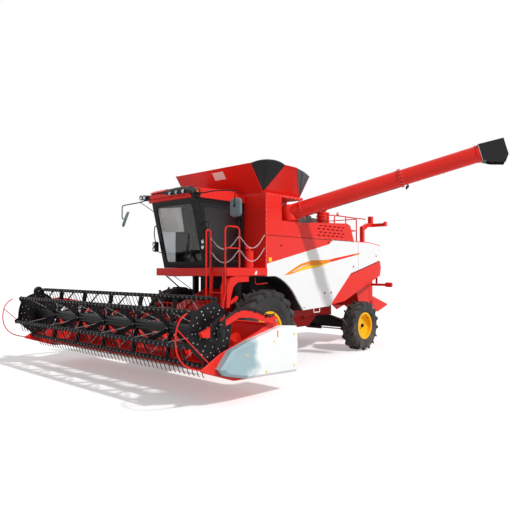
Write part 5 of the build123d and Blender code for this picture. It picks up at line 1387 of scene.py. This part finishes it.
# %% Platform tray, tread and stays
TREAD_ROWS, TREAD_LANES, TREAD_PITCH = 24, 12, 46
GUARD_OUT = [(-700, 1892), (-860, 1860), (-950, 1700), (-955, 1500), (-965, 1300)]
GUARD_IN = [(-880, 1300), (-843, 1517), (-779, 1689), (-659, 1774), (-385, 1780)]
GUARD_SKIN = [(-659, 1778), (-783, 1740), (-843, 1690), (-848, 1517), (-884, 1302)]
bench = Bench()
for x, y, z, bevel in (
        ((-840, 1300), (-955, -915), (1890, 2046), 4), ((-840, 1300), (150, 199.7), (1890, 2046), 4),
        ((-840, -790), (-920, 160), (1892, 2046), 4), ((1260, 1300), (-920, 160), (1892, 2046), 4),
        ((-838, 1298), (-953, 197), (2038, 2047), 2), ((1120, 1300), (-700, -351), (1882, 1893), 2)):
    bench.block(x, y, z, red_coat, bevel)
pad = Bench(local=True)
pad.prism([(-17, -3), (-9, -6), (9, -6), (17, -3), (17, 3), (9, 6), (-9, 6), (-17, 3)], "z", -1, 2.6,
          red_coat)
pad_shape = pad.sent("tread_shape")
for row in range(TREAD_ROWS):
    for lane, turn in ((0, 0.78), (22, -0.78)):
        row_on(bench, pad_shape, red_coat, TREAD_LANES, (716 + lane, -935 + 44 * row + lane, 2047),
               TREAD_PITCH, turn)
bpy.data.objects.remove(pad_shape)
for side in (-1, 1):
    bench.block((side * 622, side * 698), (-68, 68), (962, 2038), black_coat, 5)
    bench.tube([(side * 660, -66, 1340), (side * 660, -850, 1900)], 15, black_coat)
    bench.tube([(side * 560, -70, 1500), (side * 640, -700, 1915)], 9, black_coat, sides=8)
    bench.block((side * 610, side * 710), (-890, -800), (1893, 1905), black_coat, 3)
cheek = [(-350.3, 1892)] + GUARD_OUT + GUARD_IN + [(-350.3, 1780)]
for low, high in ((1120, 1136), (1282, 1300)):
    bench.prism(cheek, "x", low, high, red_coat, bevel=2)
bench.rings([[(1122, y1, z1), (1298, y1, z1), (1298, (y1 * 3 + y2) / 4, (z1 * 3 + z2) / 4),
              (1122, (y1 * 3 + y2) / 4, (z1 * 3 + z2) / 4)]
             for (y1, z1), (y2, z2) in zip(GUARD_OUT, GUARD_SKIN)], red_coat)
bench.prism([(-200, 1918), (-118, 1918), (-118, 1992), (-146, 1992)], "x", 1300, 1301, white_coat)
bench.tube([(1180, -44, 1892), (1180, -40, 1745), (1180, -8, 1716), (1180, 330, 1738)], 9, red_coat, bend=26,
           sides=8)
bench.prism([(-812, 1350), (-620, 1440), (-612, 1500), (-660, 1512), (-812, 1420)], "x", 1240, 1262,
            red_coat, 3)
bench.tube([(1250, -812, 1385), (1250, -862, 1400)], 14, red_coat, sides=8)
bench.sent("platform_tray", "machine", ["platform"])

# %% [markdown]
# ## Guard chains
# The gaps in the rail are closed by light chains. Each hangs on its own spline between two
# hooks, and the tree turns every other link a quarter, as real links lie.

# %% Chains
LINK_WIRE, LINK_PITCH = 2.8, 0.0325
LINK_SIDES = 12
RAIL_X, POST_Y = 1282, -603
oval = []
for k in range(LINK_SIDES):
    turn = 2 * math.pi * k / LINK_SIDES
    oval.append(Vector((8.4 * math.cos(turn), 0, 14 * math.sin(turn) + (5 if math.sin(turn) > 0 else -5))))
link = Bench(local=True)
link.rings([circle(spot, spot.normalized(), Vector((0, 1, 0)), LINK_WIRE, 5) for spot in oval], chain_coat,
           looped=True)
link_shape = link.sent("link_shape")


def hung(bench, start, end, out_way, in_way, sag):
    """A chain hung between two hooks."""
    first = Vector(start) + Vector(out_way) * 18
    last = Vector(end) - Vector(in_way) * 18
    points = [Vector(start)]
    for share in (step / 7 for step in range(8)):
        points.append(first + (last - first) * share - Vector((0, 0, 4 * sag * share * (1 - share))))
    run = smooth_run(points + [Vector(end)], 90)
    curve = bpy.data.curves.new("Hang", "CURVE")
    curve.dimensions = "3D"
    spline = curve.splines.new("POLY")
    spline.points.add(len(run) - 1)
    for knot, point in zip(spline.points, run):
        knot.co = (*at(*point), 1)
    set_out_on(bench, link_tree, link_shape, chain_coat, carrier=linked("Hang", curve), Pitch=LINK_PITCH)


bench = Bench()
for top in (2600, 2340):
    hung(bench, (891.5, -978, top), (RAIL_X, POST_Y - 16.5, top + 40), (1, 0, 0), (0, 1, 0), 220)
    hung(bench, (RAIL_X, POST_Y + 16.5, top + 40), (1225, 199, top + 110), (0, 1, 0), (0, 1, 0), 240)
    for x, y, z, way in ((885, -978, top, (1, 0, 0)), (RAIL_X, POST_Y - 9, top + 40, (0, -1, 0)),
                         (RAIL_X, POST_Y + 9, top + 40, (0, 1, 0))):
        bench.turned((x, y, z), way, [(0, 8), (10, 8), (12, 5)], zinc_bolt, 12)
    bench.block((1215, 1235), (192, 200), (top + 96, top + 124), zinc_bolt)
bpy.data.objects.remove(link_shape)
bench.sent("guard_chain_links", "machine", ["guard_chains"])

# %% [markdown]
# ## Flank details
# The flank carries a tapering stripe, a few blank plates, seams and catches. The stripe is film
# cut to shape, a few tenths of a millimetre thick, so it is a thin prism just off the panel.

# %% Stripe, plates, seams and catches
FLANK = 1250
FILMS = [
    # outline, lift, thickness, finish
    ([(796, 1890), (1002, 1988), (1368, 2139), (1752, 2221), (2436, 2250), (3104, 2345), (3830, 2447),
      (3872, 2413), (3500, 2353), (2507, 2190), (2017, 2066), (1751, 2046), (1367, 1988), (1002, 1914)],
     0.2, 0.6, amber_coat),
    ([(1120, 1946), (1440, 2060), (1700, 2112), (2060, 2120), (2380, 2160), (2017, 2070), (1751, 2050),
      (1367, 1992)], 0.9, 0.5, sun_yellow_coat),
    ([(1100, 1960), (1470, 2085), (1640, 2120), (1660, 2132), (1440, 2098), (1090, 1972)],
     1.4, 0.4, white_coat),
    ([(2560, 2198), (3000, 2272), (3420, 2340), (3560, 2362), (3590, 2412), (3104, 2344), (2760, 2296),
      (2500, 2240)], 0.9, 0.5, red_coat),
    ([(300, 2262), (395, 2262), (395, 2178), (300, 2178)], 0.2, 0.8, sun_yellow_coat)]
for y, z in ((3606, 2392), (3652, 2400), (3698, 2408), (3744, 2414), (3790, 2420), (3836, 2425)):
    half = 22 - (y - 3606) * 0.05
    FILMS.append(([(y, z - half), (y + 14, z - half + 3), (y + 30, z + half), (y + 14, z + half - 3)],
                  1.0, 0.5, red_coat))
bench = Bench()
for side in (-1, 1):
    face = side * FLANK
    for outline, lift, thick, finish in FILMS:
        bench.prism(outline, "x", *sorted((face + side * lift, face + side * (lift + thick))), finish)
    bench.block((face, face + side * 2), (3783, 3789), (2006, 2726), black_plastic, 0.5)
    bench.block((face, face + side * 2), (3950, 3955), (2060, 2726), white_coat, 0.5)
    for y, z in ((2290, 1470), (2560, 1475), (3560, 2090), (4700, 2380), (700, 2520), (2450, 2660)):
        bench.turned((face, y, z), (side, 0, 0), [(0, 24), (3, 23), (4, 12), (8, 11)], black_plastic, 20)
    for y, z, step, count in (
            (226, 2760, (0, 0, 96), 9), (226, 2010, (0, 0, 96), 7), (1330, 2750, (0, 0, 130), 3),
            (300, 3572, (0, 128, 0), 9), (1960, 2745, (0, 230, 0), 7)):
        bolt_row(bench, (face, y, z), step, count, (side, 0, 0), 6)
    bench.tube([(face + side * 3, 244, 2722), (face + side * 3, 3580, 2722)], 4, black_plastic, sides=6)
    # A black plate behind the louvres: painted shade, dark where the body's inside shows through.
    bench.block((side * 1196, side * 1200), (1950, 3230), (2780, 3090), black_plastic, 1)
    for y in (1500, 2480):
        bench.block((face, face + side * 14), (y - 26, y + 26), (1168, 1196), zinc_bolt, 3)
for z in (2300, 2700, 3100, 3500):
    bolt_row(bench, (-1150, 200, z), (300, 0, 0), 2, (0, -1, 0), 6)
bench.sent("flank_details", "machine")

# %% [markdown]
# ## Tank edges and rubber corners
# The flaps fold for the road, so rubber sheets join their corners and bulge when they are up.
# A flat fan would look like card. Each sheet here is a grid between the two flap edges whose
# middle is blown out and up, with a few soft folds, and then given its thickness.

# %% Corner skirts
FLAP_X, FLAP_FOOT, FLAP_LENGTH = 1160, 3600.3, 670
FLAP_ANGLE = math.radians(35)
RISE, REACH = FLAP_LENGTH * math.cos(FLAP_ANGLE), FLAP_LENGTH * math.sin(FLAP_ANGLE)
FLAP_TOP = FLAP_FOOT + RISE
# name, sign along Y, foot of the end flap, end of the side flap's top edge, swell
CORNERS = (("front", -1, 220, 480, 1.0), ("rear", 1, 1440, 850, 0.12))
SKIRT_ACROSS, SKIRT_ALONG = 24, 16


def corner_skirt(name, side, sign, foot_y, top_y, swell):
    """A stretched rubber sheet between two flaps, bowed out of its plane."""
    foot = Vector((side * (FLAP_X + 1), foot_y, FLAP_FOOT + 14))
    first = Vector((side * (FLAP_X + 1), foot_y + sign * REACH, FLAP_TOP))
    second = Vector((side * (FLAP_X + REACH), top_y + sign * 3, FLAP_TOP))
    out = (first - foot).cross(second - foot).normalized()
    if out.dot(Vector((side, sign, 0))) < 0:
        out = -out
    grid = []
    for j in range(SKIRT_ALONG + 1):
        v = max(j / SKIRT_ALONG, 0.02)
        row = []
        for i in range(SKIRT_ACROSS + 1):
            u = i / SKIRT_ACROSS
            bow = math.sin(math.pi * u)
            reach = first * (1 - u) + second * u - foot
            fold = (7 * math.sin(5 * math.pi * u) * math.sin(math.pi * v)
                    + 5 * math.sin(9 * u + 4 * v) * v * bow)
            row.append(foot + reach * v * (1 + 0.19 * swell * bow)
                       + out * (62 * swell * bow * v ** 1.3 + fold * bow))
        grid.append(row)
    bench = Bench()
    bench.rings(grid, rubber_skin, closed=False)
    skirt = bench.sent(name)
    wall = skirt.modifiers.new("Wall", "SOLIDIFY")
    wall.thickness = 0.005
    wall.offset = 0
    applied(skirt)
    skirt.data.shade_smooth()
    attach(skirt, "machine")
    return skirt


skirts = [corner_skirt(f"corner_skirt_{end}_{hand}", side, *numbers)
          for hand, side in (("left", 1), ("right", -1)) for end, *numbers in CORNERS]
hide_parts("tank_corner_skirts")

# %% [markdown]
# ## Flap edges
# The flaps are thin sheet, so each is stiffened by a rolled lip and by ribs pressed along it.

# %% Flap lips, ribs and blank plate
bench = Bench()
for side in (-1, 1):
    for end, sign, foot_y, top_y, swell in CORNERS:
        bench.tube([(side * FLAP_X, foot_y, FLAP_FOOT + 4), (side * FLAP_X, foot_y + sign * REACH, FLAP_TOP)],
                   8, red_coat, sides=8)
        bench.tube([(side * FLAP_X, foot_y + sign * 2, FLAP_FOOT + 4),
                    (side * (FLAP_X + REACH), top_y, FLAP_TOP)], 8, red_coat, sides=8)
    bench.tube([(side * (FLAP_X + REACH), y, FLAP_TOP) for y in (480, 850)], 9, red_coat, sides=8)
for end, sign, foot_y, top_y, swell in CORNERS:
    bench.tube([(x, foot_y + sign * REACH, FLAP_TOP) for x in (-FLAP_X, FLAP_X)], 9, red_coat, sides=8)
    for x in (-780, 0, 780):
        bench.tube([(x, foot_y - sign * 14, FLAP_FOOT + 30),
                    (x, foot_y + sign * (REACH * 0.94 - 20), FLAP_TOP - 40)], 9, red_coat, sides=8)
    bolt_row(bench, (-1050, foot_y + sign, FLAP_FOOT + 18), (300, 0, 0), 8, (0, sign, 0.7), 6)
up_flap = Vector((0, -REACH, RISE)).normalized()
off_flap = Vector((0, -RISE, -REACH)).normalized()
bench.rings([[Vector((x, 220, FLAP_FOOT)) + up_flap * up + off_flap * lift
              for x, up in ((0, 420), (330, 420), (330, 600), (0, 600))] for lift in (0.5, 2.0)], flap_film)
bench.sent("flap_edges", "machine")

# %% [markdown]
# ## Unloading tube
# The tube is two rolled lengths joined by bolted flanges, and it ends in a rubber spout. The
# flanges' bolts come from the ring tree, turned into line with the tube's own slope.

# %% Flange bolts and work lamp
ELBOW = Vector((1050, 1200, 3260))
HEADING, CLIMB = math.radians(23.5), math.radians(15.0)
OUT = Vector((math.cos(HEADING) * math.cos(CLIMB), math.sin(HEADING) * math.cos(CLIMB), math.sin(CLIMB)))
SIDE_WAY = Vector((0, 0, 1)).cross(OUT).normalized()
UP_WAY = OUT.cross(SIDE_WAY).normalized()
SPOUT = 4032


def tube_spot(out, up=0, aside=0):
    """A point along the tube, above it and to its side."""
    return ELBOW + OUT * out + UP_WAY * up + SIDE_WAY * aside


bench = Bench()
for distance, way in ((322, 1), (300, -1), (2476, 1), (2454, -1), (2506, 1)):
    bolt_ring(bench, tube_spot(distance), OUT * way, 16, 186, 7)
bench.turned(tube_spot(2395), OUT, [(0, 174), (6, 178), (52, 178), (58, 174)], red_coat, 40)
bench.turned(tube_spot(3960), OUT, [(0, 167), (4, 176), (60, 176), (64, 167)], red_coat, 40)
lamp = tube_spot(2560, -230, 60)
bench.block((lamp.x - 16, lamp.x + 16), (lamp.y - 16, lamp.y + 16), (lamp.z + 10, lamp.z + 70), black_coat, 3)
round_lamp(bench, lamp, OUT * 0.6 - UP_WAY * 0.8, 44)
for distance in (700, 1200, 1700, 2200, 2800, 3300, 3800):
    bench.turned(tube_spot(distance, -172, -12), SIDE_WAY, [(0, 9), (24, 9)], zinc_bolt, 10)
bench.tube([tube_spot(360, -176), tube_spot(2440, -176)], 7, black_plastic, sides=8)
bench.sent("tube_flanges", "unloader")

# %% Spout ribs
bench = Bench()
ribs = [(6, [(463, 125, -157), (463, 125, 157)])]
for aside in (-157, 157):
    ribs += [(6, [(out, up, aside) for out, up in line]) for line in
             ([(0, 155), (463, 125)], [(2, -153), (152, -243), (378, -322)],
              [(463, 123), (463, -196), (378, -320)])]
    ribs += [(4, [(out, 140, aside * 1.015), (out, -225, aside * 1.015)]) for out in (120, 240, 360)]
for radius, line in ribs:
    bench.tube([tube_spot(SPOUT + out, up, side) for out, up, side in line], radius, rubber_skin, sides=6)
bench.tube([tube_spot(SPOUT + 2, up, side) for up, side in (
    (158, -160), (158, 160), (-158, 160), (-158, -160), (158, -160))], 7, zinc_bolt, sides=6)
bench.sent("spout_ribs", "unloader")

# %% [markdown]
# ## Deck
# Behind the tank stand a rail's bent ends, the engine's hoses and its exhaust, and a beacon.

# %% Deck fittings
bench = Bench()
bench.tube([(560, 4850, 3450), (600, 5020, 3452), (640, 5200, 3440)], 16, red_coat, bend=60)
bench.tube([(560, 3750, 3450), (520, 3300, 3420), (520, 3260, 2760)], 15, red_coat, bend=50)
bench.turned((560, 3900, 3466), (0, 0, 1), [(0, 34), (12, 34), (14, 28)], black_plastic, 20)
bench.turned((560, 3900, 3480), (0, 0, 1), [(0, 29), (44, 28), (58, 20), (63, 4)], amber_lens, 20)
for shift, top in ((0, 3150), (46, 3120), (96, 3170)):
    bench.tube([(700 - shift, 3020 + shift, 2745), (700 - shift, 3040 + shift, top),
                (640 - shift, 3300 + shift, top + 40), (600, 3560 + shift, 2900), (600, 3580 + shift, 2745)],
               16, black_plastic, bend=110)
bench.turned((640, 3130, 3330), (0, 0.5, 0.86), [(0, 42), (150, 42), (160, 34)], black_coat, 24)
bench.tube([(640, 3130, 3330), (600, 3090, 3200), (560, 3060, 2745)], 34, black_coat, bend=60, sides=14)
bench.sent("deck_fittings", "machine")
